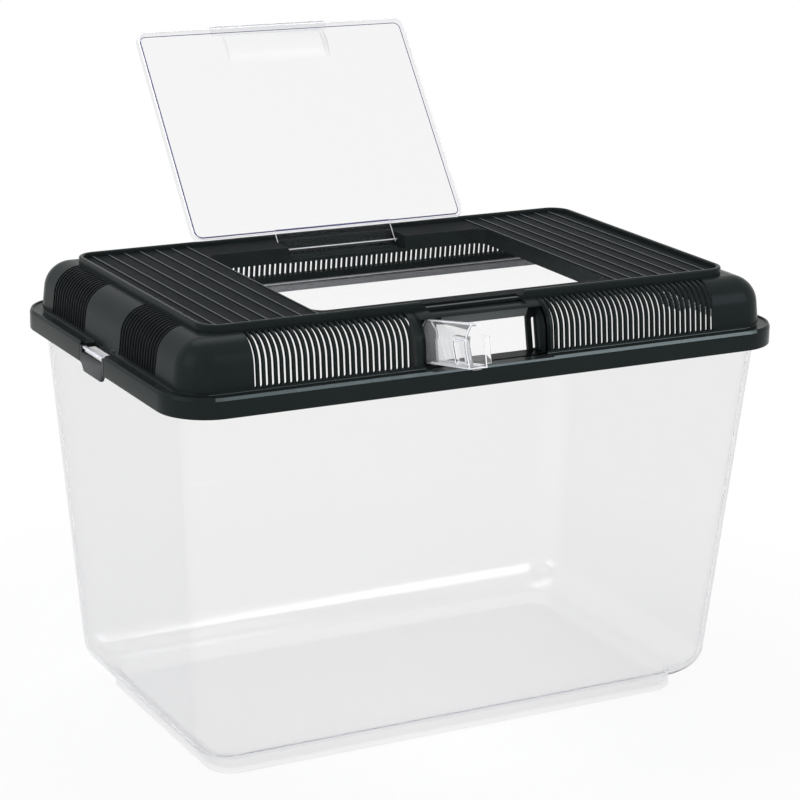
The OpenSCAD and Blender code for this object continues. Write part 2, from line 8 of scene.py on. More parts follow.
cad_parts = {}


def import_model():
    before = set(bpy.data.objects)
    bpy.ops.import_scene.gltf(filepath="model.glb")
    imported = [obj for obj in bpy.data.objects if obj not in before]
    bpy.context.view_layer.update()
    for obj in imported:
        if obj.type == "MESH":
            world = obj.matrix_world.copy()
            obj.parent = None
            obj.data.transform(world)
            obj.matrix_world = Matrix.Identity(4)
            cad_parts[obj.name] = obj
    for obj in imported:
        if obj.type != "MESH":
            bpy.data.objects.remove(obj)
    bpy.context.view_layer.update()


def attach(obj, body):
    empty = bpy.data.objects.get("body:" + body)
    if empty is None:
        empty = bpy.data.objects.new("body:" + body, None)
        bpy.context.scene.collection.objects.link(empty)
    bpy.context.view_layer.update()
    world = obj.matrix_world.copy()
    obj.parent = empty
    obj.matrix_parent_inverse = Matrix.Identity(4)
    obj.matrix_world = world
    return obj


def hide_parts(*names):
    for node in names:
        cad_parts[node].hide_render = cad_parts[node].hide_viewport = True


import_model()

MM = 0.001

# ---------------- sizes, in millimetres
CASE_L, CASE_W, CASE_R = 400.0, 250.0, 29.0
LID_Z, RIM_UP = 229.0, 8.5
RIM_Z = LID_Z + RIM_UP
SKIRT_H, SKIRT_T, RIDGE_H, LEDGE_H, LEDGE_T, GROOVE = 10.3, 2.4, 12.1, 11.4, 2.5, 0.9
DOME_IN, DOME_R, DOME_H, SHOULDER_R, DRAFT = 8.2, 18.6, 40.8, 17.0, math.radians(6)
SHELL, PANEL_Z = 2.2, LID_Z + 42.4
DOME_L, DOME_W = CASE_L - 2 * DOME_IN, CASE_W - 2 * DOME_IN
STACK_L, STACK_W, STACK_R, STACK_T, STACK_TOP = 346.0, 196.0, 13.0, 2.8, 45.25
SLOT_W, PITCH, SLOT_FOOT, SLOT_END = 1.6, 3.656, 13.0, 25.8
OPEN_X, OPEN_Y0, OPEN_Y1, OPEN_R, COLLAR_H, COLLAR_T = 97.1, -81.6, 69.6, 8.0, 9.4, 2.0
RECESS_X0, RECESS_X1, RECESS_D, RECESS_TOP, LEAN = -44.2, 35.3, 11.3, 37.9, math.radians(12)
WINDOW_X0, WINDOW_X1, WINDOW_TOP = -28.0, 29.0, 31.2
SCOOP_X0, SCOOP_X1, SCOOP_Y, SCOOP_Z, SCOOP_FLARE = -35.0, 27.4, -91.5, 39.4, 4.0
HINGE_Y, HINGE_Z, BARREL_R, PIN_R = 81.5, 266.1, 2.2, 1.5
NOTCH_W, NOTCH_Y = 82.0, 88.3
FEED_X, FEED_Y = -35.9, -111.2
FEED_TURN, DOOR_TURN = math.radians(-98), math.radians(-128.3)
QUARTER_TURN = math.pi / 2


# ---------------- shader maths
def operator(operation):
    """A method that adds a maths node for a socket and another socket or a number."""
    def method(self, other):
        node = self.tree.nodes.new("ShaderNodeMath")
        node.operation = operation
        for slot, item in zip(node.inputs, (self, other)):
            if isinstance(item, Value):
                self.tree.links.new(item.socket, slot)
            else:
                slot.default_value = item
        return Value(self.tree, node.outputs[0])
    return method


class Value:
    """A socket with operators, so that shader maths reads as plain sums."""

    __add__ = __radd__ = operator("ADD")
    __sub__ = operator("SUBTRACT")
    __mul__ = operator("MULTIPLY")
    __pow__ = operator("POWER")
    least = operator("MINIMUM")
    most = operator("MAXIMUM")

    def __init__(self, tree, socket):
        self.tree, self.socket = tree, socket


# Outputs by their number: Texture Coordinate's, Layer Weight's, and Light Path's four kinds of ray
OBJECT_PLACE, FACING = 3, 1
CAMERA_RAY, SHADOW_RAY, GLOSSY_RAY, TRANSMISSION_RAY = 0, 1, 3, 6


class Shades:
    """One material or world tree, with a short way to add any node."""

    def __init__(self, tree):
        self.tree = tree
        tree.nodes.clear()

    def node(self, kind, settings=None, **sockets):
        """Adds a node. A socket is called by its name, or by its number after an underscore."""
        made = self.tree.nodes.new(kind)
        for name, value in (settings or {}).items():
            setattr(made, name, value)
        for name, value in sockets.items():
            number = name[1:]
            slot = made.inputs[int(number) if number.isdigit() else name.replace("_", " ")]
            if isinstance(value, Value):
                self.tree.links.new(value.socket, slot)
            else:
                slot.default_value = value
        return made

    def value(self, node, output=0):
        return Value(self.tree, node.outputs[output])

    def place(self):
        """Where a point lies on the object."""
        return self.value(self.node("ShaderNodeTexCoord"), OBJECT_PLACE)

    def noise(self, place, scale, detail, roughness=0.5):
        return self.value(self.node(
            "ShaderNodeTexNoise", Vector=place, Scale=scale, Detail=detail, Roughness=roughness
        ))

    def mix(self, share, one, two):
        """One shader, turning into the other by a share."""
        both = self.node("ShaderNodeMixShader", Fac=share)
        self.tree.links.new(one.outputs[0], both.inputs[1])
        self.tree.links.new(two.outputs[0], both.inputs[2])
        return both

    def finish(self, shader, target="ShaderNodeOutputMaterial", volume=None):
        out = self.tree.nodes.new(target)
        self.tree.links.new(shader.outputs[0], out.inputs["Surface"])
        if volume:
            self.tree.links.new(volume.outputs[0], out.inputs["Volume"])


def new_material(name):
    made = bpy.data.materials.new(name)
    made.use_nodes = True
    return made, Shades(made.node_tree)


def blend(s, share, low, high):
    """A colour between two, by a share that varies."""
    both = s.node("ShaderNodeMix", {"data_type": "RGBA"}, _0=share, _6=(*low, 1.0), _7=(*high, 1.0))
    return s.value(both, 2)


# Clear plastic: where haze and specks begin, how dull specks and clean parts are, how deep its waves
# are, and how fast its edges grey
CLOUD_FROM, SPECKS_FROM, SPECKS_DULL, CLEAN_DULL = 0.45, 0.72, 0.5, 0.012
WAVE_DEPTH, EDGE_GREY = 0.0006, 2.5
# Its polish: the height in metres from which it rises, how fast, and its least share
FOOT_HEIGHT, FOOT_RISE, FOOT_SHINE = 0.004, 120.0, 0.12
# The light that lamps keep through a wall, and the colour that its depth takes on
LAMP_TINT, DEPTH_TINT = (0.93, 0.935, 0.945, 1.0), (0.46, 0.465, 0.52, 1.0)


def clear_plastic(name, face, edge, haze, bend=1.03, through=1.0, density=24.0, polish=0.8):
    """Clear moulded plastic that lets lamps through: greyer edge on, and where it is thick."""
    made, s = new_material(name)
    place = s.place()
    facing = s.value(s.node("ShaderNodeLayerWeight", Blend=0.5), FACING)
    cloud = s.noise(place, 9.0, 3.0, 0.6)
    specks = s.noise(place, 260.0, 2.0)
    waves = s.noise(place, 16.0, 1.0)
    dull = (cloud - CLOUD_FROM).most(0.0) * haze + (specks - SPECKS_FROM).most(0.0) * SPECKS_DULL + CLEAN_DULL
    bump = s.node("ShaderNodeBump", Strength=0.25, Distance=WAVE_DEPTH, Height=waves)
    height = s.value(s.node("ShaderNodeSeparateXYZ", Vector=place), 2)
    shine = ((height - FOOT_HEIGHT) * FOOT_RISE).most(FOOT_SHINE).least(1.0) * polish
    glass = s.node(
        "ShaderNodeBsdfPrincipled",
        Base_Color=blend(s, facing ** EDGE_GREY, face, edge),
        Roughness=dull,
        IOR=bend,
        Transmission_Weight=through,
        Coat_Weight=shine,
        Coat_Roughness=0.17,
        Coat_IOR=1.45,
        Normal=s.value(bump),
    )
    lamps = s.node("ShaderNodeBsdfTransparent", Color=LAMP_TINT)
    depth = s.node("ShaderNodeVolumeAbsorption", Color=DEPTH_TINT, Density=density)
    shadow = s.value(s.node("ShaderNodeLightPath"), SHADOW_RAY)
    s.finish(s.mix(shadow, glass, lamps), volume=depth)
    return made


# Black plastic: its darkest and lightest tone as shares of its shade, how far its polish wanders,
# how deep its grain is, and the cold tint of its gloss
DARKEST, LIGHTEST, WANDER, GRAIN_DEPTH = 0.75, 1.3, 0.08, 0.0002
COLD_GLOSS = (0.73, 0.93, 1.0, 1.0)


def black_plastic(name, shade, rough, gloss, grain, grain_scale=900.0):
    """Black moulded plastic: its polish wanders a little and it carries a fine grain."""
    made, s = new_material(name)
    place = s.place()
    cloud = s.noise(place, 34.0, 4.0, 0.55)
    fine = s.noise(place, grain_scale, 3.0)
    wipe = s.noise(place, 6.0, 2.0)
    tone = cloud * 0.6 + fine * 0.4
    bump = s.node("ShaderNodeBump", Strength=grain, Distance=GRAIN_DEPTH, Height=fine)
    skin = s.node(
        "ShaderNodeBsdfPrincipled",
        Base_Color=blend(s, tone, [DARKEST * c for c in shade], [LIGHTEST * c for c in shade]),
        Roughness=rough + (cloud - 0.5) * WANDER + (wipe - 0.5) * WANDER,
        IOR=1.5,
        Specular_IOR_Level=gloss,
        Specular_Tint=COLD_GLOSS,
        Normal=s.value(bump),
    )
    s.finish(skin)
    return made


clear_tub = clear_plastic(
    "clear_tub_wall", (0.949, 0.948, 0.946), (0.79, 0.795, 0.805), 0.25, density=14.0)
clear_door = clear_plastic(
    "clear_door_plate", (0.943, 0.943, 0.942), (0.6, 0.61, 0.66), 0.15, bend=1.02, polish=0.12)
# Pale, mostly diffuse clear plastic for thin bars: painted highlights along edges, the tub's rim and the
# hinge
painted_edge_highlight = clear_plastic(
    "clear_painted_edge_highlight", (0.86, 0.86, 0.88), (0.8, 0.8, 0.84), 0.2, through=0.2)
clear_feeder = clear_plastic(
    "clear_feeder_shell", (0.99, 0.99, 0.99), (0.7, 0.71, 0.74), 0.1, bend=1.12, through=0.95, polish=0.4)
# Clear plastic with a large pale diffuse share: a painted highlight on the tub's lugs
lug_painted_highlight = clear_plastic(
    "clear_lug_painted_highlight", (0.93, 0.93, 0.97), (0.75, 0.75, 0.82), 0.4, bend=1.3, through=0.35)
gloss_black = black_plastic("lid_gloss_black", (0.0135, 0.0170, 0.0165), 0.26, 0.055, 0.12)
panel_black = black_plastic("lid_panel_black", (0.0115, 0.0135, 0.0145), 0.5, 0.012, 0.75, 1300.0)
# A lighter black for the ridges' crests: a painted highlight
crest_highlight_black = black_plastic("lid_ridge_painted_highlight", (0.060, 0.066, 0.068), 0.32, 0.2, 0.2)
# A lighter black on the skirt's top bevel: a painted highlight
bevel_highlight_black = black_plastic("lid_painted_highlight_edge", (0.062, 0.072, 0.074), 0.28, 0.42, 0.2)
# Dark violet: painted shade lines where clear plastic folds, in the tub's plinth and the door's plate
fold_painted_shade = black_plastic("clear_fold_painted_shade", (0.09, 0.09, 0.20), 0.4, 0.2, 0.1)
# A grey for the downward faces under the lintel: a painted reflection
hood_painted_reflection = black_plastic("lid_hood_painted_reflection", (0.125, 0.135, 0.132), 0.45, 0.3, 0.2)
# A light grey for the skirt's inner faces: painted reflection, for the bright band seen through the tub's rim
lining_painted_reflection = black_plastic("lid_skirt_inside_painted_reflection", (0.20, 0.20, 0.215), 0.3, 0.5, 0.1)
# The darkest black: for the slats at the ends, and as painted shade on the recess floor
slat_and_shade_black = black_plastic("lid_slat_and_shade_black", (0.0050, 0.0060, 0.0065), 0.3, 0.05, 0.1)
latch_black = black_plastic("latch_black", (0.012, 0.014, 0.017), 0.34, 0.14, 0.2)


# ---------------- outlines and meshes
# The faces of a box whose points go round one end and then round the other
BOX_SIDES = [(0, 1, 2, 3), (7, 6, 5, 4), (0, 4, 5, 1), (1, 5, 6, 2), (2, 6, 7, 3), (3, 7, 4, 0)]


def circle(radius, steps):
    """Points round a circle, as pairs."""
    turns = [2 * math.pi * i / steps for i in range(steps)]
    return [(radius * math.cos(turn), radius * math.sin(turn)) for turn in turns]


def ring(length, width, radius, z, steps=10, middle=(0.0, 0.0)):
    """Points round a rounded rectangle, from its right side onwards."""
    points = []
    for quarter in range(4):
        sx = 1 if quarter in (0, 3) else -1
        sy = 1 if quarter < 2 else -1
        for step in range(steps + 1):
            turn = QUARTER_TURN * (quarter + step / steps)
            points.append(Vector((
                middle[0] + sx * (length / 2 - radius) + radius * math.cos(turn),
                middle[1] + sy * (width / 2 - radius) + radius * math.sin(turn),
                z,
            )))
    return points


def rounded_path(points, radii, steps=4):
    """A closed outline with each corner turned to an arc of its own radius."""
    done = []
    total = len(points)
    for index, (x, y) in enumerate(points):
        radius = radii[index]
        here = Vector((x, y))
        back = Vector(points[index - 1]) - here
        ahead = Vector(points[(index + 1) % total]) - here
        back_n, ahead_n = back.normalized(), ahead.normalized()
        corner = back_n.angle(ahead_n)
        if radius <= 0 or corner > math.pi - 0.01:
            done.append(here)
            continue
        cut = min(radius / math.tan(corner / 2), 0.49 * back.length, 0.49 * ahead.length)
        radius = cut * math.tan(corner / 2)
        centre = here + (back_n + ahead_n).normalized() * (radius / math.sin(corner / 2))
        a, b = here + back_n * cut - centre, here + ahead_n * cut - centre
        sweep = math.atan2(a.x * b.y - a.y * b.x, a.dot(b))
        for step in range(steps + 1):
            turn = sweep * step / steps
            done.append(centre + Vector((
                a.x * math.cos(turn) - a.y * math.sin(turn),
                a.x * math.sin(turn) + a.y * math.cos(turn),
            )))
    return done


def add_object(name, data):
    made = bpy.data.objects.new(name, data)
    bpy.context.scene.collection.objects.link(made)
    return made


def build(name, points, faces, material, smooth=32.0):
    """A mesh object from points in millimetres, with its normals turned outwards."""
    mesh = bpy.data.meshes.new(name)
    mesh.from_pydata([Vector(p) * MM for p in points], [], faces)
    mesh.validate()
    tidy = bmesh.new()
    tidy.from_mesh(mesh)
    bmesh.ops.remove_doubles(tidy, verts=tidy.verts, dist=1e-7)
    bmesh.ops.recalc_face_normals(tidy, faces=tidy.faces)
    tidy.to_mesh(mesh)
    tidy.free()
    made = add_object(name, mesh)
    mesh.materials.append(material)
    soften(made, smooth)
    return made


def soften(made, angle=32.0):
    made.data.shade_smooth()
    made.data.set_sharp_from_angle(angle=math.radians(angle))


def loft(name, rings, material=gloss_black, closed=False, smooth=32.0):
    """Skins a row of rings. Closed joins the last ring to the first; else both ends are capped."""
    around = len(rings[0])
    points = [p for level in rings for p in level]
    levels = len(rings)
    faces = []
    for level in range(levels if closed else levels - 1):
        a, b = level * around, ((level + 1) % levels) * around
        for i in range(around):
            j = (i + 1) % around
            faces.append((a + i, a + j, b + j, b + i))
    if not closed:
        faces += [tuple(range(around)), tuple(range((levels - 1) * around, levels * around))]
    return build(name, points, faces, material, smooth)


def carry(name, profile, length, width, radius, material, steps):
    """Carries a closed profile of (inset, height) round a rounded rectangle."""
    rings = [ring(length - 2 * x, width - 2 * x, max(radius - x, 0.05), z, steps) for x, z in profile]
    return loft(name, rings, material, closed=True)


def bar(name, profile, x0, x1, material=gloss_black):
    """A bar from x0 to x1 whose end outline is given as (y, z)."""
    return loft(name, [[(x, y, z) for y, z in profile] for x in (x0, x1)], material)


def deep_bar(name, profile, y0, y1, material=gloss_black, smooth=32.0):
    """A bar from y0 to y1 whose end outline is given as (x, z)."""
    return loft(name, [[(x, y, z) for x, z in profile] for y in (y0, y1)], material, smooth=smooth)


def block(name, x0, x1, y0, y1, z0, z1, material=gloss_black):
    return bar(name, [(y0, z0), (y1, z0), (y1, z1), (y0, z1)], x0, x1, material)


def rod(name, radius, x0, x1, y, z, material, steps=32):
    return bar(name, [(y + a, z + b) for a, b in circle(radius, steps)], x0, x1, material)


def apply_modifiers(made):
    """Turns what the modifiers give into the object's own plain mesh."""
    seen = made.evaluated_get(bpy.context.evaluated_depsgraph_get())
    mesh = bpy.data.meshes.new_from_object(seen)
    old = made.data
    made.modifiers.clear()
    made.data = mesh
    bpy.data.meshes.remove(old)
    return made


def combine(made, others, operation):
    """Joins pieces to a piece, or cuts them from it, and removes them."""
    for other in others:
        tool = made.modifiers.new("shape", "BOOLEAN")
        tool.operation, tool.solver, tool.object = operation, "EXACT", other
        apply_modifiers(made)
        bpy.data.objects.remove(other)
    return made


def cut(made, *others):
    return combine(made, others, "DIFFERENCE")


def weld(made, *others):
    return combine(made, others, "UNION")


def ease(made, width, angle=35.0, segments=2):
    """Rounds every edge that is sharper than an angle."""
    tool = made.modifiers.new("ease", "BEVEL")
    tool.width, tool.segments, tool.limit_method = width * MM, segments, "ANGLE"
    tool.angle_limit = math.radians(angle)
    tool.use_clamp_overlap = True
    apply_modifiers(made)
    soften(made, 40.0)
    return made


def join(name, pieces):
    """Puts pieces of one body into one object, each with its own material."""
    whole = bmesh.new()
    materials = []
    for piece in pieces:
        first = len(whole.faces)
        whole.from_mesh(piece.data)
        whole.faces.ensure_lookup_table()
        places = []
        for material in piece.data.materials:
            if material not in materials:
                materials.append(material)
            places.append(materials.index(material))
        for index in range(first, len(whole.faces)):
            face = whole.faces[index]
            face.material_index = places[min(face.material_index, len(places) - 1)]
    mesh = bpy.data.meshes.new(name)
    whole.to_mesh(mesh)
    whole.free()
    for material in materials:
        mesh.materials.append(material)
    for piece in pieces:
        bpy.data.objects.remove(piece)
    return add_object(name, mesh)


def edge_highlight_bars(made, width, sink, angle=35.0):
    """Thin pale bars just inside a body's sharp edges: painted highlights where clear plastic gathers light.
    """
    work = bmesh.new()
    work.from_mesh(made.data)
    points, faces = [], []
    for edge in work.edges:
        if len(edge.link_faces) != 2 or not edge.is_convex or edge.calc_length() < 0.3 * MM:
            continue
        one, two = (face.normal for face in edge.link_faces)
        if one.angle(two) < math.radians(angle):
            continue
        along = (edge.verts[1].co - edge.verts[0].co).normalized()
        inward = -(one + two).normalized()
        across = along.cross(inward)
        first = len(points)
        for end in edge.verts:
            middle = end.co / MM + inward * sink
            for a, b in ((-1, 0), (0, -1), (1, 0), (0, 1)):
                points.append(middle + (inward * a + across * b) * width / 2)
        faces += [tuple(first + i for i in face) for face in BOX_SIDES]
    work.free()
    return build("lines", points, faces, painted_edge_highlight)


def recolour(made, material, wanted):
    """Gives another material to the faces picked by their middle, in millimetres, and normal."""
    made.data.materials.append(material)
    last = len(made.data.materials) - 1
    for face in made.data.polygons:
        if wanted(face.center / MM, face.normal):
            face.material_index = last


def move(made, matrix):
    made.data.transform(matrix)
    made.data.update()
    return made


# ---------------- rows of copies
def row_tree():
    """Copies the incoming shape along a straight row."""
    tree = bpy.data.node_groups.new("row_of_copies", "GeometryNodeTree")
    face = tree.interface
    face.new_socket("Geometry", in_out="OUTPUT", socket_type="NodeSocketGeometry")
    for name, kind in (
        ("Geometry", "Geometry"), ("Copies", "Int"), ("First place", "Vector"), ("Step", "Vector"),
        ("Material", "Material"),
    ):
        face.new_socket(name, in_out="INPUT", socket_type="NodeSocket" + kind)
    given, line, copies, real, skin, out = (tree.nodes.new(kind) for kind in (
        "NodeGroupInput", "GeometryNodeMeshLine", "GeometryNodeInstanceOnPoints",
        "GeometryNodeRealizeInstances", "GeometryNodeSetMaterial", "NodeGroupOutput",
    ))
    line.mode = "OFFSET"
    for source, output, target, socket in (
        (given, "Copies", line, "Count"),
        (given, "First place", line, "Start Location"),
        (given, "Step", line, "Offset"),
        (line, "Mesh", copies, "Points"),
        (given, "Geometry", copies, "Instance"),
        (copies, "Instances", real, "Geometry"),
        (real, "Geometry", skin, "Geometry"),
        (given, "Material", skin, "Material"),
        (skin, "Geometry", out, "Geometry"),
    ):
        tree.links.new(source.outputs[output], target.inputs[socket])
    return tree


ROW = row_tree()
ROW_INPUTS = {
    item.name: item.identifier for item in ROW.interface.items_tree if item.in_out == "INPUT"
}


def repeat(made, copies, first, step, material):
    """Turns one shape into a row of it, as a plain mesh."""
    tool = made.modifiers.new("row", "NODES")
    tool.node_group = ROW
    tool[ROW_INPUTS["Copies"]] = copies
    tool[ROW_INPUTS["First place"]] = [v * MM for v in first]
    tool[ROW_INPUTS["Step"]] = [v * MM for v in step]
    tool[ROW_INPUTS["Material"]] = material
    apply_modifiers(made)
    soften(made, 50.0)
    return made


# ---------------- tub
WALL, TAPER, TUB_R = 2.4, math.radians(4.27), 19.0
TURN_R, TURN, TURN_STEPS, PLINTH_H, PLINTH_R = 22.0, math.radians(74), 18, 9.5, 15.7
RIM_OUT, RIM_REACH, LIP_T, LIP_H = 3.2, 6.0, 1.6, 6.6
WALL_IN = RIM_OUT + RIM_REACH
TURN_Z = PLINTH_H + TURN_R * math.sin(TURN)
LEAN_IN = (RIM_Z - TURN_Z + TURN_R * math.sin(TAPER)) * math.tan(TAPER)
TURN_IN = WALL_IN + LEAN_IN + TURN_R * math.cos(TAPER)
PLINTH_IN = TURN_IN - TURN_R * math.cos(TURN)
# The fold's painted shade line: half height at its left end, loss towards the right, depth, right end,
# and the share of the plinth's corner that it takes in
FOLD_HALF, FOLD_LOSS, FOLD_DEEP, FOLD_END, FOLD_CORNER = 0.42, 0.12, 0.5, 155.5, 0.55
FOOT_R = 0.8
# The lugs: their start and end from the middle, half width, and foot and top over the rim
LUG_X0, LUG_X1, LUG_HALF, LUG_FOOT, LUG_TOP = 197.3, 199.7, 15, 0.2, 1.8
# The painted highlight line in the rim, as (out from the wall's inside, down from the rim)
RIM_HIGHLIGHT = ((0.75, 0.55), (0.75, 0.15), (0.15, 0.15), (0.15, 0.55))


def tub_ring(inset, radius, z):
    return ring(CASE_L - 2 * inset, CASE_W - 2 * inset, radius, z, 14)


def turn_rings(skin):
    """Rings up the turn from the plinth to the wall, on the outside or a skin further in."""
    bend = TURN_R - skin
    low = math.acos((TURN_IN - PLINTH_IN - skin) / bend)
    rings = []
    for step in range(TURN_STEPS + 1):
        share = step / TURN_STEPS
        turn = low + (TAPER - low) * share
        radius = PLINTH_R + (TUB_R - PLINTH_R) * share
        rings.append(tub_ring(
            TURN_IN - bend * math.cos(turn), radius - skin, TURN_Z - bend * math.sin(turn)
        ))
    return rings


def painted_fold_shade_line():
    """A painted dark violet line: the shade the eye sees where the clear plinth turns under the front wall.
    """
    rear = -CASE_W / 2 + PLINTH_IN + FOLD_CORNER * PLINTH_R
    outline = [p for p in tub_ring(PLINTH_IN + 0.1, PLINTH_R - 0.1, PLINTH_H) if p.y < rear]
    outline.sort(key=lambda p: p.x)
    rings = []
    for p in outline:
        if p.x < FOLD_END:
            half = FOLD_HALF - FOLD_LOSS * (p.x + 160) / 320
            section = ((0, -half), (FOLD_DEEP, -half), (FOLD_DEEP, half), (0, half))
            rings.append([(p.x, p.y + y, PLINTH_H + z) for y, z in section])
    return loft("fold", rings, fold_painted_shade)


def tub():
    under = RIM_Z - WALL
    under_in = WALL_IN + (RIM_Z - under) * math.tan(TAPER)
    outer_r = TUB_R + RIM_REACH
    foot = []
    for a in (0, 0.52, 1.05, QUARTER_TURN):
        inset, up = FOOT_R * (1 - math.sin(a)), FOOT_R * (1 - math.cos(a))
        foot.append(tub_ring(PLINTH_IN + inset, PLINTH_R - inset, up))
    thin = WALL_IN + WALL
    rim = rounded_path(
        [(under_in, under), (RIM_OUT + LIP_T, under), (RIM_OUT + LIP_T, RIM_Z - LIP_H),
         (RIM_OUT, RIM_Z - LIP_H), (RIM_OUT, RIM_Z), (thin, RIM_Z), (thin, under)],
        [0, 0.5, 0.35, 0.35, 0.9, 0.9, 0],
    )
    flat = [tub_ring(PLINTH_IN + x, PLINTH_R - x, 0) for x in (3.0, 1.1)]
    rings = flat + foot + turn_rings(0)
    for x, z in rim[:-1]:
        on_rim = outer_r - (x - RIM_OUT) * (outer_r - TUB_R) / RIM_REACH
        rings.append(tub_ring(x, on_rim if x < WALL_IN else TUB_R - (x - WALL_IN), z))
    rings += turn_rings(WALL)[::-1]
    rings.append(tub_ring(PLINTH_IN + WALL + 0.6, PLINTH_R - WALL - 0.6, WALL + 0.15))
    rings += [tub_ring(PLINTH_IN + WALL + x, PLINTH_R - WALL - x, WALL) for x in (2.2, 2.6, 5.0)]
    made = loft("tub_shell", rings, clear_tub)
    lugs = []
    for side in (1, -1):
        lug = block("lug", side * LUG_X0, side * LUG_X1, -LUG_HALF, LUG_HALF,
                    RIM_Z + LUG_FOOT, RIM_Z + LUG_TOP, lug_painted_highlight)
        lugs.append(ease(lug, 0.4))
    # A pale bar just under the rim's inner top edge: a painted highlight
    lip = carry("lip", [(thin - x, RIM_Z - z) for x, z in RIM_HIGHLIGHT],
                CASE_L, CASE_W, TUB_R + WALL_IN, painted_edge_highlight, 14)
    made = join("tub_shell", [made, painted_fold_shade_line(), lip] + lugs)
    made.name = made.data.name = "tub_shell"
    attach(made, "tub")
    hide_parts("tub")
    return made


# ---------------- lid
CENTRE_H = DOME_H - SHOULDER_R
WALL_LEAN = (CENTRE_H + SHOULDER_R * math.sin(DRAFT) - LEDGE_H) * math.tan(DRAFT)
SHOULDER_IN = WALL_LEAN + SHOULDER_R * math.cos(DRAFT)
TOP_IN = SLOT_END - DOME_IN
# The outermost slot of a long side, in pitches; slots in a bunch; middles of the left end's bunches
SLOTS_OUT, SLOTS_IN_BUNCH, BUNCHES = 41, 15, (-47.3, 58.2)
# A slat's foot, as (height in the lid, how much wider on each side), where the slots end round
SLAT_FLARE = ((12.9, 0.79), (13.05, 0.72), (13.3, 0.42), (13.6, 0.17), (13.9, 0.05))
# Half of a slat's outline, as (share of its half width, depth in the wall)
SLAT_EDGE = ((1, SHELL), (1, 1.0), (0.82, 0.45), (0.35, 0.08))


def shoulder_at(radius, turn):
    """A place on the dome's shoulder, as (inset, height)."""
    return SHOULDER_IN - radius * math.cos(turn), CENTRE_H + radius * math.sin(turn)


def dome_path(skin, low, steps=12):
    """The dome's wall from the end, up from a low height, as (inset, height, lean)."""
    radius = SHOULDER_R - skin
    bend_x, bend_z = shoulder_at(radius, DRAFT)
    last = math.acos((SHOULDER_IN - TOP_IN) / radius)
    path = [(bend_x - (bend_z - low) * math.tan(DRAFT), low, DRAFT)]
    for step in range(steps + 1):
        turn = DRAFT + (last - DRAFT) * step / steps
        path.append((*shoulder_at(radius, turn), turn))
    return path


def dome_section():
    low = SLOT_FOOT - 0.1
    outside = [(x, z) for x, z, _ in dome_path(0, low)]
    inside = [(x, z) for x, z, _ in dome_path(SHELL, low)]
    return outside + inside[::-1]


def turned(made, quarter):
    return move(made, Matrix.Rotation(QUARTER_TURN * quarter, 4, "Z"))


def wall_stretch(x0, x1, quarter):
    """A plain stretch of the dome's wall. Quarters are counted from the front, turning left."""
    half = (DOME_W if quarter % 2 == 0 else DOME_L) / 2
    section = [(-half + x, LID_Z + z) for x, z in dome_section()]
    return turned(bar("stretch", section, x0, x1), quarter)


def wall_corner(quarter):
    """The dome's rounded corner, in the front right and turned from there."""
    cx, cy = DOME_L / 2 - DOME_R, -(DOME_W / 2 - DOME_R)
    if quarter % 2:
        cx, cy = DOME_W / 2 - DOME_R, -(DOME_L / 2 - DOME_R)
    section = dome_section()
    rings = []
    for step in range(13):
        turn = -QUARTER_TURN + QUARTER_TURN * step / 12
        way = math.cos(turn), math.sin(turn)
        rings.append([
            (cx + (DOME_R - x) * way[0], cy + (DOME_R - x) * way[1], LID_Z + z) for x, z in section
        ])
    return turned(loft("corner", rings), quarter)


def slat(quarter):
    """One bar between two slots, wider at its foot, where the slots end round."""
    half = (DOME_W if quarter % 2 == 0 else DOME_L) / 2
    wide = (PITCH - SLOT_W) / 2
    outline = [(-across, -deep) for across, deep in SLAT_EDGE]
    outline += [(across, -deep) for across, deep in SLAT_EDGE[::-1]]
    lower = [((z - LEDGE_H) * math.tan(DRAFT), z, DRAFT, wide + extra) for z, extra in SLAT_FLARE]
    upper = [(x, z, turn, wide) for x, z, turn in dome_path(0, 15.0, 9)]
    rings = []
    for x, z, turn, w in lower + upper:
        out_y, out_z = -math.cos(turn), math.sin(turn)
        rings.append([
            (across * w, -half + x + deep * out_y, LID_Z + z + deep * out_z) for across, deep in outline
        ])
    return turned(loft("slat", rings, smooth=50.0), quarter)


def slats(count, first, quarter, material=gloss_black):
    """A row of slats along one side, the first of them so far from its middle."""
    step = {0: (PITCH, 0, 0), 1: (0, PITCH, 0), 2: (-PITCH, 0, 0), 3: (0, -PITCH, 0)}[quarter]
    start = tuple(first * s / PITCH for s in step)
    return repeat(slat(quarter), count, start, step, material)


def dome_wall():
    """The dome's four walls: plain corners and stretches, with rows of slats between them."""
    edge = SLOTS_OUT * PITCH + SLOT_W / 2
    end_x, end_y = DOME_L / 2 - DOME_R, DOME_W / 2 - DOME_R
    pieces = [wall_corner(q) for q in range(4)]
    pieces += [
        wall_stretch(-end_x, -edge, 0), wall_stretch(edge, end_x, 0),
        wall_stretch(-14 * PITCH + SLOT_W / 2, RECESS_X0, 0),
        wall_stretch(RECESS_X1, 11 * PITCH - SLOT_W / 2, 0),
        wall_stretch(-end_x, -edge, 2), wall_stretch(edge, end_x, 2),
        slats(27, -40.5 * PITCH, 0), slats(30, 11.5 * PITCH, 0), slats(82, -40.5 * PITCH, 2),
    ]
    half = (SLOTS_IN_BUNCH - 1) / 2 * PITCH + SLOT_W / 2
    first_slat = (SLOTS_IN_BUNCH - 2) / 2 * PITCH
    for quarter, sign in ((1, 1), (3, -1)):
        near, far = sorted(sign * y for y in BUNCHES)
        marks = [-end_y, near - half, near + half, far - half, far + half, end_y]
        pieces += [wall_stretch(marks[i], marks[i + 1], quarter) for i in (0, 2, 4)]
        for middle in (near, far):
            pieces.append(slats(SLOTS_IN_BUNCH - 1, middle - first_slat, quarter, slat_and_shade_black))
    return pieces


# Each latch's room in the skirt: where it starts from the middle, and its half width
LATCH_ROOM = ((197, 18.7), (191.5, 15.3))
# The painted highlight on the skirt's top bevel ends so far before the case's corners
HIGHLIGHT_END = 22


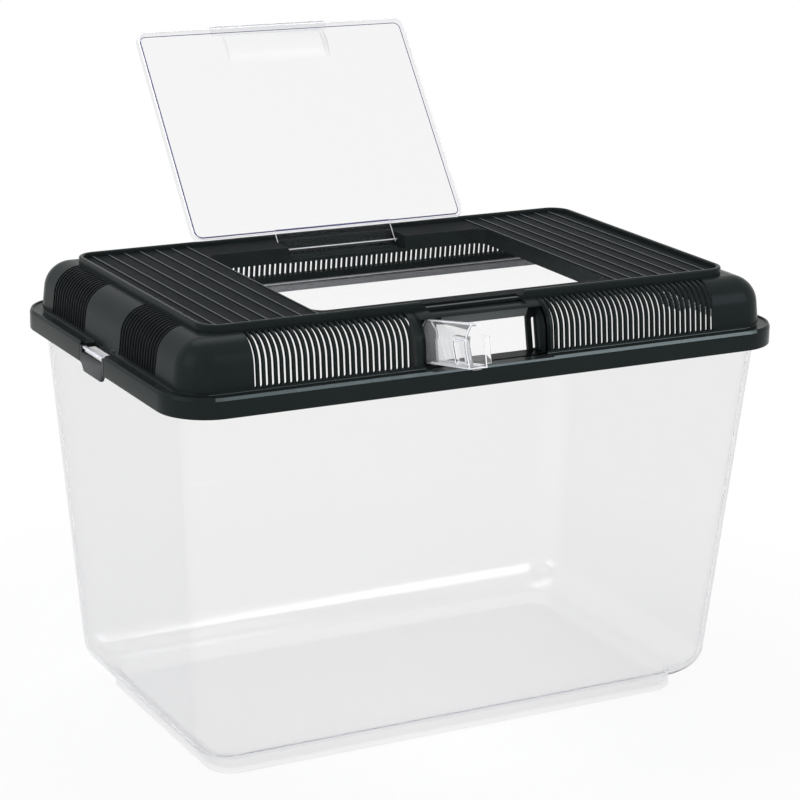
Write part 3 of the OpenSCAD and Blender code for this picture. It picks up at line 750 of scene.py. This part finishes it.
def lid_border():
    """Skirt, ridge and ledge with the sill of the dome, cut for the latches and the recess."""
    profile = rounded_path(
        [(0, 0), (0, SKIRT_H - 0.1), (GROOVE, RIDGE_H), (SKIRT_T, RIDGE_H), (SKIRT_T, LEDGE_H),
         (DOME_IN - 0.1, LEDGE_H), (DOME_IN + 0.16, 13.0), (DOME_IN + SHELL + 0.16, 13.0),
         (DOME_IN + SHELL, LEDGE_H - LEDGE_T), (SKIRT_T, LEDGE_H - LEDGE_T), (SKIRT_T, 0)],
        [0.4, 0.3, 0.3, 0.5, 0.25, 0.5, 0, 0, 0, 0.5, 0.4], 3,
    )
    section = [(x, LID_Z + z) for x, z in profile]
    made = carry("border", section, CASE_L, CASE_W, CASE_R, gloss_black, 14)
    low, high = LID_Z - 1, LID_Z + 14
    tools = [block("tool", RECESS_X0, RECESS_X1, -130, -100, LID_Z + LEDGE_H, high)]
    for side in (1, -1):
        for inner, half in LATCH_ROOM:
            tools.append(block("tool", side * inner, side * 202, -half, half, low, high))
    cut(made, *tools)

    # Front and rear bevel faces, away from the corners, get the painted highlight
    def highlight_band_faces(at, out):
        at_corner = abs(at.x) > CASE_L / 2 - HIGHLIGHT_END and abs(at.y) > CASE_W / 2 - HIGHLIGHT_END
        on_slope = LID_Z + SKIRT_H - 0.2 < at.z < LID_Z + RIDGE_H and 0.3 < out.z < 0.7
        return on_slope and abs(out.y) > abs(out.x) and not at_corner

    # The skirt's inner faces get the light grey: a painted reflection
    def lining_reflection_faces(at, out):
        return at.z < LID_Z + LEDGE_H - LEDGE_T and (out.x * at.x < -50 or out.y * at.y < -50)

    recolour(made, bevel_highlight_black, highlight_band_faces)
    recolour(made, lining_painted_reflection, lining_reflection_faces)
    soften(made, 30.0)
    return made


def front_bar(name, outline, x0, x1):
    """A bar along the front wall, drawn as (inset from the dome's foot, height in the lid)."""
    return bar(name, [(-DOME_W / 2 + y, LID_Z + z) for y, z in outline], x0, x1)


def rounded_block(name, length, width, radius, z0, z1, middle=(0.0, 0.0), material=gloss_black):
    return loft(name, [ring(length, width, radius, z, middle=middle) for z in (z0, z1)], material)


# The cuts through the recess's rear wall: start and end, in from the dome's foot
WINDOW_Y0, WINDOW_Y1 = 6, 24


def catch_slot():
    """The slot in the recess's rear wall that takes the door's blade, round at both ends."""
    x0, x1, z0, z1 = RECESS_X1 - 2.9, RECESS_X1 - 0.5, 11.9, 30.0
    outline = rounded_path([(x0, z0), (x1, z0), (x1, z1), (x0, z1)], [0.8] * 4, 5)
    section = [(x, LID_Z + z) for x, z in outline]
    return deep_bar("tool", section, -DOME_W / 2 + WINDOW_Y0, -DOME_W / 2 + WINDOW_Y1)


# The room round the hinge's barrel, how deep pieces are let into the top, the lintel's place and
# thickness, and how far tools reach past what they cut
BARREL_ROOM, SUNK, LINTEL_IN, LINTEL_T, PAST = 0.3, 0.5, 4.4, 4, 6


def lid_top():
    """The flat top with its opening, the hinge trough and the recess for the feeding door."""
    middle = (0.0, (OPEN_Y0 + OPEN_Y1) / 2)
    open_w = OPEN_Y1 - OPEN_Y0
    top = PANEL_Z
    dome_top = LID_Z + DOME_H
    trough_z = HINGE_Z - BARREL_R - BARREL_ROOM
    made = rounded_block("top", DOME_L - 2 * TOP_IN, DOME_W - 2 * TOP_IN, 1.0, dome_top - SHELL, dome_top)
    rise = math.tan(LEAN)
    outside = [(x, z) for x, z, _ in dome_path(0, LEDGE_H)]
    rear = RECESS_D + (RECESS_TOP - LEDGE_H) * rise
    back = RECESS_D + SHELL
    recess_block = front_bar(
        "recess", [(0, LEDGE_H - LEDGE_T)] + outside
        + [(rear + SHELL + 2, DOME_H - 0.4), (rear + SHELL, RECESS_TOP + SHELL), (back, LEDGE_H),
           (back, LEDGE_H - LEDGE_T)],
        RECESS_X0 - SHELL, RECESS_X1 + SHELL,
    )
    weld(
        made,
        rounded_block("panel", STACK_L - 1, STACK_W - 1, STACK_R - 0.5, dome_top - 0.6, top),
        rounded_block("collar", 2 * OPEN_X + 2 * COLLAR_T, open_w + 2 * COLLAR_T, OPEN_R + COLLAR_T,
                      top - COLLAR_H, top - SUNK, middle),
        block("trough", -NOTCH_W / 2 - 2.4, NOTCH_W / 2 + 2.4, OPEN_Y1 - SUNK, NOTCH_Y + SHELL,
              trough_z - SHELL, top - 0.4),
        recess_block,
        block("scoop", SCOOP_X0 - SHELL, SCOOP_X1 + SHELL, -101.5, SCOOP_Y + SHELL,
              LID_Z + SCOOP_Z - SHELL, dome_top - 0.2),
    )
    wall = RECESS_D + (WINDOW_TOP - LEDGE_H) * rise
    lintel_in = rear - LINTEL_IN
    hollow = front_bar(
        "tool", [(-PAST, LEDGE_H), (RECESS_D, LEDGE_H), (rear, RECESS_TOP), (-PAST, RECESS_TOP)],
        RECESS_X0, RECESS_X1,
    )
    lintel = front_bar(
        "lintel", [(wall, WINDOW_TOP), (wall + LINTEL_T, WINDOW_TOP), (wall + LINTEL_T, RECESS_TOP + 1),
                   (lintel_in, RECESS_TOP + 1), (lintel_in, RECESS_TOP)],
        WINDOW_X0, WINDOW_X1,
    )
    window = block("tool", WINDOW_X0, WINDOW_X1, -DOME_W / 2 + WINDOW_Y0, -DOME_W / 2 + WINDOW_Y1,
                   LID_Z + LEDGE_H, LID_Z + WINDOW_TOP)
    cut(hollow, lintel)
    cut(
        made,
        rounded_block("tool", 2 * OPEN_X, open_w, OPEN_R, LID_Z + 20, top + PAST, middle),
        block("tool", -NOTCH_W / 2, NOTCH_W / 2, OPEN_Y1 - 3, NOTCH_Y, trough_z, top + PAST),
        hollow,
        window,
        catch_slot(),
        block("tool", SCOOP_X0, SCOOP_X1, -130, SCOOP_Y, LID_Z + SCOOP_Z, top + PAST),
    )
    ease(made, 0.45)

    # The downward faces under the lintel get a lighter grey: a painted reflection
    def hood_reflection_faces(at, out):
        under_lintel = LID_Z + WINDOW_TOP - 0.5 < at.z < LID_Z + RECESS_TOP + 0.5
        return WINDOW_X0 < at.x < WINDOW_X1 and at.y < -90 and out.y < -0.5 and out.z < -0.3 and under_lintel

    # The recess floor gets the darkest black: painted shade
    def shaded_recess_floor(at, out):
        return out.z > 0.95 and abs(at.z - LID_Z - LEDGE_H) < 0.3 and at.y < -95

    recolour(made, panel_black, lambda at, out: out.z > 0.95 and at.z > PANEL_Z - 0.2)
    recolour(made, hood_painted_reflection, hood_reflection_faces)
    recolour(made, slat_and_shade_black, shaded_recess_floor)
    return made


# Height in the lid of the stacking rim's foot, hidden in the top
STACK_FOOT = 40.3
# A panel's ridges: how many, pitch, radius, depth in the panel, gap to the opening and the half width
# that this gap is measured from; and a crest's outline
RIDGES, RIDGE_PITCH, RIDGE_R, RIDGE_DEEP, RIDGE_GAP, RIDGE_HALF = 7, 10.45, 0.78, 0.4, 0.75, 0.8
CREST = [(-0.5, 0.55), (-0.36, 0.76), (-0.12, 0.86), (0.12, 0.86), (0.0, 0.4)]


def stacking_rim():
    """The rim round the panels, cut away at the finger scoop with flaring sides."""
    profile = rounded_path([(0, STACK_FOOT), (0, STACK_TOP), (STACK_T, STACK_TOP), (STACK_T, STACK_FOOT)],
                           [0, 1.0, 0.9, 0])
    section = [(x, LID_Z + z) for x, z in profile]
    made = carry("rim", section, STACK_L, STACK_W, STACK_R, gloss_black, 12)
    low, high = PANEL_Z - 0.6, LID_Z + STACK_TOP + 1
    flare = ((SCOOP_X0, low), (SCOOP_X1, low), (SCOOP_X1 + SCOOP_FLARE, high), (SCOOP_X0 - SCOOP_FLARE, high))
    points = [(x, y, z) for y in (-110.0, SCOOP_Y) for x, z in flare]
    cut(made, build("tool", points, BOX_SIDES, gloss_black))
    soften(made, 38.0)
    return made


def panel_ridges():
    """The ridges of both panels, each with a thin crest in a lighter black: a painted highlight."""
    pieces = []
    reach = STACK_W / 2 - STACK_T + 0.4
    turns = [math.pi * i / 7 for i in range(8)]
    ridge = [(RIDGE_R * math.cos(turn), RIDGE_R * math.sin(turn)) for turn in turns]
    ridge += [(-RIDGE_R, -RIDGE_DEEP), (RIDGE_R, -RIDGE_DEEP)]
    for side in (1, -1):
        first = (side * (OPEN_X + RIDGE_GAP + RIDGE_HALF), 0, 0)
        step = (side * RIDGE_PITCH, 0, 0)
        for name, outline, material in (("ridge", ridge, panel_black), ("crest", CREST, crest_highlight_black)):
            section = [(x, PANEL_Z + z) for x, z in outline]
            one = deep_bar(name, section, -reach, reach, material, 50.0)
            pieces.append(repeat(one, RIDGES, first, step, material))
    return pieces


def panel_skins():
    """The grained face of each panel, a hair above the moulding that carries it."""
    pieces = []
    x0, x1 = OPEN_X + 1.0, STACK_L / 2 - STACK_T + 0.2
    for side in (1, -1):
        middle = (side * (x0 + x1) / 2, 0.0)
        pieces.append(rounded_block("skin", x1 - x0, STACK_W - 2 * STACK_T + 0.4, 9.0,
                                    PANEL_Z - 0.5, PANEL_Z + 0.03, middle, panel_black))
    return pieces


def lid():
    pieces = [lid_border(), lid_top(), stacking_rim()]
    made = join("lid_shell", pieces + dome_wall() + panel_ridges() + panel_skins())
    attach(made, "lid")
    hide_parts("lid")
    return made


# ---------------- top door
DOOR_GAP, DOOR_T, DOOR_DEEP, DOOR_EDGE = 1.6, 1.8, 5.3, 0.9
EDGE_TURNS = (0, 0.4, 0.8, 1.2, QUARTER_TURN)
DISH_W, DISH_L, DISH_D = 69.0, 21.0, 3.4
TAB_HALF, TAB_REACH, TONGUE_HALF, PINS_HALF = 41, 4.8, 40.7, 42.5
DOOR_TOP, DOOR_FRONT, DOOR_REAR = PANEL_Z, OPEN_Y0 + DOOR_GAP, OPEN_Y1 - DOOR_GAP
DOOR_MIDDLE = (0.0, (DOOR_FRONT + DOOR_REAR) / 2)
DOOR_L, DOOR_W, DOOR_R = 2 * (OPEN_X - DOOR_GAP), DOOR_REAR - DOOR_FRONT, OPEN_R - DOOR_GAP
# The painted violet shade line is wider on the left and at the hinge: its inner edge is moved this far
# from both
LINE_SHIFT = 0.28


def door_shell():
    """The plate and its skirt, rounded inside and out."""
    top, thick, edge, foot = DOOR_TOP, DOOR_T, DOOR_EDGE, DOOR_TOP - DOOR_DEEP

    def level(inset, z):
        return ring(DOOR_L - 2 * inset, DOOR_W - 2 * inset, max(DOOR_R - inset, 0.2), z, 12, DOOR_MIDDLE)

    arc = [(edge * (1 - math.sin(a)), edge * (1 - math.cos(a))) for a in EDGE_TURNS]
    rings = [level(4.0, top), level(1.2, top)] + [level(x, top - z) for x, z in arc]
    rings += [level(0, foot + 0.4), level(0.15, foot + 0.1), level(0.5, foot), level(thick - 0.5, foot),
              level(thick - 0.1, foot + 0.15), level(thick, foot + 0.5)]
    rings += [level(thick + z, top - thick - x) for x, z in arc]
    rings += [level(thick + edge + 0.3, top - thick), level(thick + edge + 3.0, top - thick)]
    return loft("door", rings, clear_door)


def dish_outline(skin, lift):
    """The thumb dish's end outline, grown by a skin, with its flat side lifted from the plate."""
    curve = (DISH_L * DISH_L / 4 + DISH_D * DISH_D) / (2 * DISH_D)
    dish_y = DOOR_FRONT + DOOR_T + 1 + DISH_L / 2
    spread = math.asin(DISH_L / 2 / curve)
    arc = []
    for step in range(17):
        turn = -spread + 2 * spread * step / 16
        arc.append((dish_y + (curve + skin) * math.sin(turn),
                    DOOR_TOP - DISH_D + curve - (curve + skin) * math.cos(turn)))
    return arc + [(arc[-1][0], DOOR_TOP + lift), (arc[0][0], DOOR_TOP + lift)]


def door_line(name, material, outline):
    """A thin closed line round the door, from (inset, height, middle)."""
    rings = [ring(DOOR_L - 2 * x, DOOR_W - 2 * x, DOOR_R - x, z, 12, middle) for x, z, middle in outline]
    return loft(name, rings, material, closed=True)


def door_painted_lines():
    """The painted violet shade line inside the plate and the painted highlight lines in the edges, as for a
    shut door.
    """
    low, high = DOOR_TOP - DOOR_T - 0.7, DOOR_TOP - DOOR_T - 0.1
    near = (DOOR_MIDDLE[0] + LINE_SHIFT, DOOR_MIDDLE[1] - LINE_SHIFT)
    line = door_line("line", fold_painted_shade, ((2.1, low, DOOR_MIDDLE), (2.1, high, DOOR_MIDDLE),
                                           (2.6, high, near), (2.6, low, near)))
    low = DOOR_TOP - DOOR_DEEP
    corner = ((0.2, low + 0.75), (0.75, low + 0.75), (0.75, low + 0.2), (0.45, low + 0.12), (0.2, low + 0.4))
    lights = [line, door_line("light", painted_edge_highlight, [(x, z, DOOR_MIDDLE) for x, z in corner]),
              block("light", -40.8, 40.8, DOOR_FRONT - 4.7, DOOR_FRONT - 4.2, DOOR_TOP + 0.5,
                    DOOR_TOP + 1.9, painted_edge_highlight)]
    for side in (1, -1):
        lights.append(block("light", side * 40.6, side * 40.3, DOOR_REAR - DOOR_T, HINGE_Y,
                            HINGE_Z + 0.75, HINGE_Z + 1.1, painted_edge_highlight))
    return lights


def top_door():
    made = door_shell()
    half, front, top = DISH_W / 2, DOOR_FRONT, DOOR_TOP
    outside = bar("dish", dish_outline(DOOR_T, -0.6), -half - DOOR_T, half + DOOR_T, clear_door)
    ease(outside, 0.5, 50)
    inside = bar("dish", dish_outline(0, 2.0), -half, half, clear_door)
    tab = bar("tab", rounded_path(
        [(front, top - DOOR_T), (front, top + 0.3), (front - TAB_REACH, top + 0.3),
         (front - TAB_REACH, top + 2.1), (front + DOOR_T, top + 2.1), (front + DOOR_T + 1, top - DOOR_T)],
        [0.2, 0.3, 0.5, 0.8, 0.8, 0], 3), -TAB_HALF, TAB_HALF, clear_door)
    tongue = block("tongue", -TONGUE_HALF, TONGUE_HALF, DOOR_REAR - DOOR_T, HINGE_Y,
                   HINGE_Z - 0.8, HINGE_Z + 1.3, clear_door)
    barrel = rod("barrel", BARREL_R, -TONGUE_HALF, TONGUE_HALF, HINGE_Y, HINGE_Z, clear_door)
    pins = rod("pins", PIN_R, -PINS_HALF, PINS_HALF, HINGE_Y, HINGE_Z, clear_door, 24)
    weld(made, outside, tab, tongue, barrel, pins)
    cut(made, inside)
    lights = door_painted_lines()
    pivot = Vector((0, HINGE_Y, HINGE_Z)) * MM
    opened = Matrix.Translation(pivot) @ Matrix.Rotation(DOOR_TURN, 4, "X") @ Matrix.Translation(-pivot)
    for piece in [made] + lights:
        move(piece, opened)
    soften(made)
    # A pale bar along the barrel's top: a painted highlight
    lights.append(block("light", -40.5, 40.5, HINGE_Y - 1.45, HINGE_Y - 0.95,
                        HINGE_Z + 1.2, HINGE_Z + 1.65, painted_edge_highlight))
    made = join("top_door_plate", [made] + lights)
    made.name = made.data.name = "top_door_plate"
    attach(made, "top_door")
    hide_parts("top_door")
    return made


# ---------------- feeding door
FEEDER_H, FEEDER_LIFT, FEEDER_WALL, FEEDER_HEEL = 24.8, 1.6, 1.6, 2.0
# Inset of the hinge from the dome's foot
FEEDER_IN = 5.6
FEEDER_BACK = (RECESS_D - FEEDER_IN) * math.cos(LEAN) - 0.6
FEEDER_X0, FEEDER_X1 = FEED_X - FEEDER_HEEL, RECESS_X1 - 1.2
DIP_L, DIP_H, DIP_D, DIP_Z, DIP_IN, DIP_STEPS = 16.0, 13.0, 2.4, 3.4, 2.6, 12
# The bevel of the upper rear edge: how far under FEEDER_H it starts, and how far in it ends on top
BEVEL_UNDER, BEVEL_IN = 5.5, 4.4
# The hinge line with the recess's lean, as the place of the door's own drawing
HINGE_PLACE = (
    Matrix.Translation(Vector((FEED_X, FEED_Y, LID_Z + LEDGE_H)) * MM) @ Matrix.Rotation(-LEAN, 4, "X")
)


def feeder_solid(skin, x0, x1, back=0.0):
    """The door's rounded body, with every side moved in by a skin."""
    path = [(x, z) for x, z, _ in dome_path(skin, LEDGE_H, 14)]
    body = front_bar("feeder", path + [(SHOULDER_IN, path[-1][1]), (SHOULDER_IN, LEDGE_H)], x0, x1)
    low, high = FEEDER_LIFT + skin, FEEDER_LIFT + FEEDER_H - skin
    outline = [
        (-RECESS_D, low), (FEEDER_BACK + back, low), (FEEDER_BACK + back, FEEDER_H - BEVEL_UNDER),
        (FEEDER_BACK - BEVEL_IN + back, high), (-RECESS_D, high),
    ]
    across, up = math.cos(LEAN), math.sin(LEAN)
    leaned = [(FEEDER_IN + x * across + z * up, LEDGE_H - x * up + z * across) for x, z in outline]
    return combine(body, [front_bar("limits", leaned, x0 - 1, x1 + 1)], "INTERSECT")


def on_feeder_hinge(made, turn):
    return move(made, HINGE_PLACE @ Matrix.Rotation(turn, 4, "Z"))


def dome_inset(skin, z):
    """How far in the dome's face, moved in by a skin, lies at a height in the lid."""
    radius = SHOULDER_R - skin
    bend_x, bend_z = shoulder_at(radius, DRAFT)
    if z < bend_z:
        return bend_x - (bend_z - z) * math.tan(DRAFT)
    return SHOULDER_IN - math.sqrt(radius ** 2 - (z - CENTRE_H) ** 2)


def finger_dip(skin, wall):
    """The dip's room, from in front of the door's face to a depth, grown all round by a wall."""
    z0, z1 = LEDGE_H + FEEDER_LIFT + DIP_Z - wall, LEDGE_H + FEEDER_LIFT + DIP_Z + DIP_H + wall
    heights = [z0 + (z1 - z0) * step / DIP_STEPS for step in range(DIP_STEPS + 1)]
    front = [(dome_inset(skin, z), z) for z in heights]
    back = [(dome_inset(DIP_D + wall, z), z) for z in heights]
    x1 = FEEDER_X1 - FEEDER_WALL - DIP_IN
    made = front_bar("dip", front + back[::-1], x1 - DIP_L - wall, x1 + wall)
    return ease(made, 1.0 + 0.4 * wall, 50, 3)


def feeding_door():
    made = feeder_solid(0, FEEDER_X0, FEEDER_X1)
    # Pale bars along the door's edges and its finger dip: painted highlights
    lines = [edge_highlight_bars(made, 0.85, 0.65), edge_highlight_bars(finger_dip(0.0, 0.3), 0.45, 0.1, 20.0)]
    bpy.data.objects.remove(bpy.data.objects["dip"])
    ease(made, 0.7, 25, 3)
    cut(made, feeder_solid(FEEDER_WALL, FEEDER_X0 + FEEDER_WALL, FEEDER_X1 - FEEDER_WALL, 1.0))
    weld(made, finger_dip(0.6, FEEDER_WALL))
    cut(made, finger_dip(-4.0, 0))
    for piece in [made] + lines:
        move(piece, HINGE_PLACE.inverted())
        on_feeder_hinge(piece, FEED_TURN)
    ends = (FEEDER_LIFT - 3, FEEDER_LIFT + FEEDER_H + 1.2)
    pins = loft("pins", [[(x, y, z) for x, y in circle(1.0, 20)] for z in ends], clear_feeder)
    on_feeder_hinge(pins, 0)
    end = FEEDER_X1 - FEED_X
    catch = block("catch", end - 1.1, end, FEEDER_BACK - FEEDER_WALL, FEEDER_BACK + 2.6,
                  FEEDER_LIFT + 2.2, FEEDER_LIFT + 17.2, clear_feeder)
    step = block("foot", end - FEEDER_WALL, end, -3.5, 1.5,
                 FEEDER_LIFT - 0.7, FEEDER_LIFT + FEEDER_WALL, clear_feeder)
    for piece in (catch, step):
        on_feeder_hinge(ease(piece, 0.3), FEED_TURN)
    weld(made, pins, catch, step)
    made.data.materials.clear()
    made.data.materials.append(clear_feeder)
    soften(made, 30.0)
    made = join("feeding_door_shell", [made] + lines)
    made.name = made.data.name = "feeding_door_shell"
    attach(made, "feeding_door")
    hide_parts("feeding_door")
    return made


# ---------------- latches
# The latch's faces from the middle, its drop and its half widths; the lug's thickness and its room
LATCH_X0, LATCH_X1, LATCH_DROP, LATCH_HALF, LATCH_INNER = 197.8, 200.0, 4.5, 18.4, 15.3
LUG_T, LUG_ROOM = 1.5, 0.3
# The catch's gap under the tub's lip, height, outer side, tip and half length; the pins
CATCH_GAP, CATCH_H, CATCH_OUT, CATCH_TIP, CATCH_HALF = 0.4, 2.6, 198.9, 195.6, 12
PIN_X, PIN_UP, LATCH_PIN_R, PIN_END = 198.8, 8.9, 0.8, 20.2


def latch(name, side):
    under = RIM_UP - LUG_T - LUG_ROOM
    outline = [
        (-LATCH_HALF, SKIRT_H), (-LATCH_HALF, 0), (-16.4, -0.4), (-13, -LATCH_DROP),
        (13, -LATCH_DROP), (16.4, -0.4), (LATCH_HALF, 0), (LATCH_HALF, SKIRT_H),
        (LATCH_INNER, SKIRT_H), (LATCH_INNER, under), (-LATCH_INNER, under), (-LATCH_INNER, SKIRT_H),
    ]
    radii = [0.4, 0.3, 2, 1, 1, 2, 0.3, 0.4, 0.3, 0.3, 0.3, 0.3]
    path = rounded_path([(y, LID_Z + z) for y, z in outline], radii, 3)
    made = bar("latch", path, LATCH_X0, LATCH_X1, latch_black)
    ease(made, 0.35, 40)
    top = RIM_Z - LIP_H - CATCH_GAP
    catch = ((CATCH_OUT, top), (CATCH_TIP, top), (LATCH_X0, top - CATCH_H), (CATCH_OUT, top - CATCH_H))
    weld(made, deep_bar("catch", catch, -CATCH_HALF, CATCH_HALF, latch_black))
    section = [(PIN_X + x, LID_Z + PIN_UP + z) for x, z in circle(LATCH_PIN_R, 20)]
    for y0, y1 in ((LATCH_INNER, PIN_END), (-PIN_END, -LATCH_INNER)):
        weld(made, deep_bar("pin", section, y0, y1, latch_black))
    soften(made)
    if side < 0:
        move(made, Matrix.Rotation(math.pi, 4, "Z"))
    made.name = made.data.name = name
    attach(made, name)
    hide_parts(name)
    return made


# ---------------- camera, floor and light
CAMERA_PLACE = Vector((-0.7365786, -1.3780524, 0.6374882))
YAW, PITCH_DOWN, ROLL, LENS = 0.4918, 0.2811, 0.0165, 119.14


def camera():
    level = math.cos(PITCH_DOWN)
    ahead = Vector((math.sin(YAW) * level, math.cos(YAW) * level, -math.sin(PITCH_DOWN)))
    right = Vector((math.cos(YAW), -math.sin(YAW), 0))
    up = right.cross(ahead)
    cos, sin = math.cos(ROLL), math.sin(ROLL)
    right, up = right * cos + up * sin, up * cos - right * sin
    turn = Matrix((right, up, -ahead)).transposed().to_4x4()
    data = bpy.data.cameras.new("camera")
    data.sensor_width, data.lens = 36.0, LENS
    data.clip_end = 100
    made = add_object("camera", data)
    made.matrix_world = Matrix.Translation(CAMERA_PLACE) @ turn
    bpy.context.scene.camera = made


def background_seen(s):
    """1 for what the eye, clear plastic or a gloss sees directly, 0 for light on the object."""
    path = s.node("ShaderNodeLightPath")
    return s.value(path, CAMERA_RAY).most(s.value(path, TRANSMISSION_RAY)).most(s.value(path, GLOSSY_RAY))


# The floor's half length; its own white's share under the object, from how far off in metres this
# share grows, and how fast
FLOOR_HALF, OWN_WHITE, WHITE_FROM, WHITE_RISE = 4000, 0.86, 0.3, 1.1


def floor():
    half = FLOOR_HALF
    corners = ((-half, -half), (half, -half), (half, half), (-half, half))
    material, s = new_material("floor_white")
    made = loft("floor", [[(x, y, z) for x, y in corners] for z in (-8.0, -0.05)], material)
    distance = s.value(s.node("ShaderNodeVectorMath", {"operation": "LENGTH"}, _0=s.place()), 1)
    away = (distance - WHITE_FROM).most(0.0) * WHITE_RISE
    share = background_seen(s) * (away + OWN_WHITE).least(1.0)
    sheet = s.node("ShaderNodeBsdfDiffuse", Color=(0.86, 0.86, 0.86, 1.0))
    glow = s.node("ShaderNodeEmission", Color=(1, 1, 1, 1), Strength=1.0)
    s.finish(s.mix(share, sheet, glow))


def world():
    made = bpy.data.worlds.new("studio")
    bpy.context.scene.world = made
    made.use_nodes = True
    s = Shades(made.node_tree)
    seen = background_seen(s)
    light = s.node("ShaderNodeBackground", Color=(0.93, 0.96, 1.0, 1.0), Strength=0.55)
    white = s.node("ShaderNodeBackground", Color=(1, 1, 1, 1), Strength=1.0)
    s.finish(s.mix(seen, light, white), "ShaderNodeOutputWorld")


def soft_box(name, place, target, width, height, power):
    data = bpy.data.lights.new(name, "AREA")
    data.shape, data.size, data.size_y, data.energy = "RECTANGLE", width, height, power
    place, target = Vector(place), Vector(target)
    turn = (target - place).to_track_quat("-Z", "Y").to_matrix().to_4x4()
    add_object(name, data).matrix_world = Matrix.Translation(place) @ turn


def lights():
    soft_box("left_box", (-2.1, -0.4, 1.1), (0, 0, 0.2), 1.6, 1.6, 19)
    soft_box("right_box", (1.6, -2.0, 1.3), (0, 0, 0.2), 1.2, 1.4, 22)
    soft_box("top_box", (0.1, 0.9, 2.4), (0, 0, 0.2), 1.8, 1.2, 22)


scene = bpy.context.scene
scene.view_settings.view_transform = "Standard"
camera()
world()
floor()
lights()
tub()
lid()
top_door()
feeding_door()
latch("right_latch", 1)
latch("left_latch", -1)
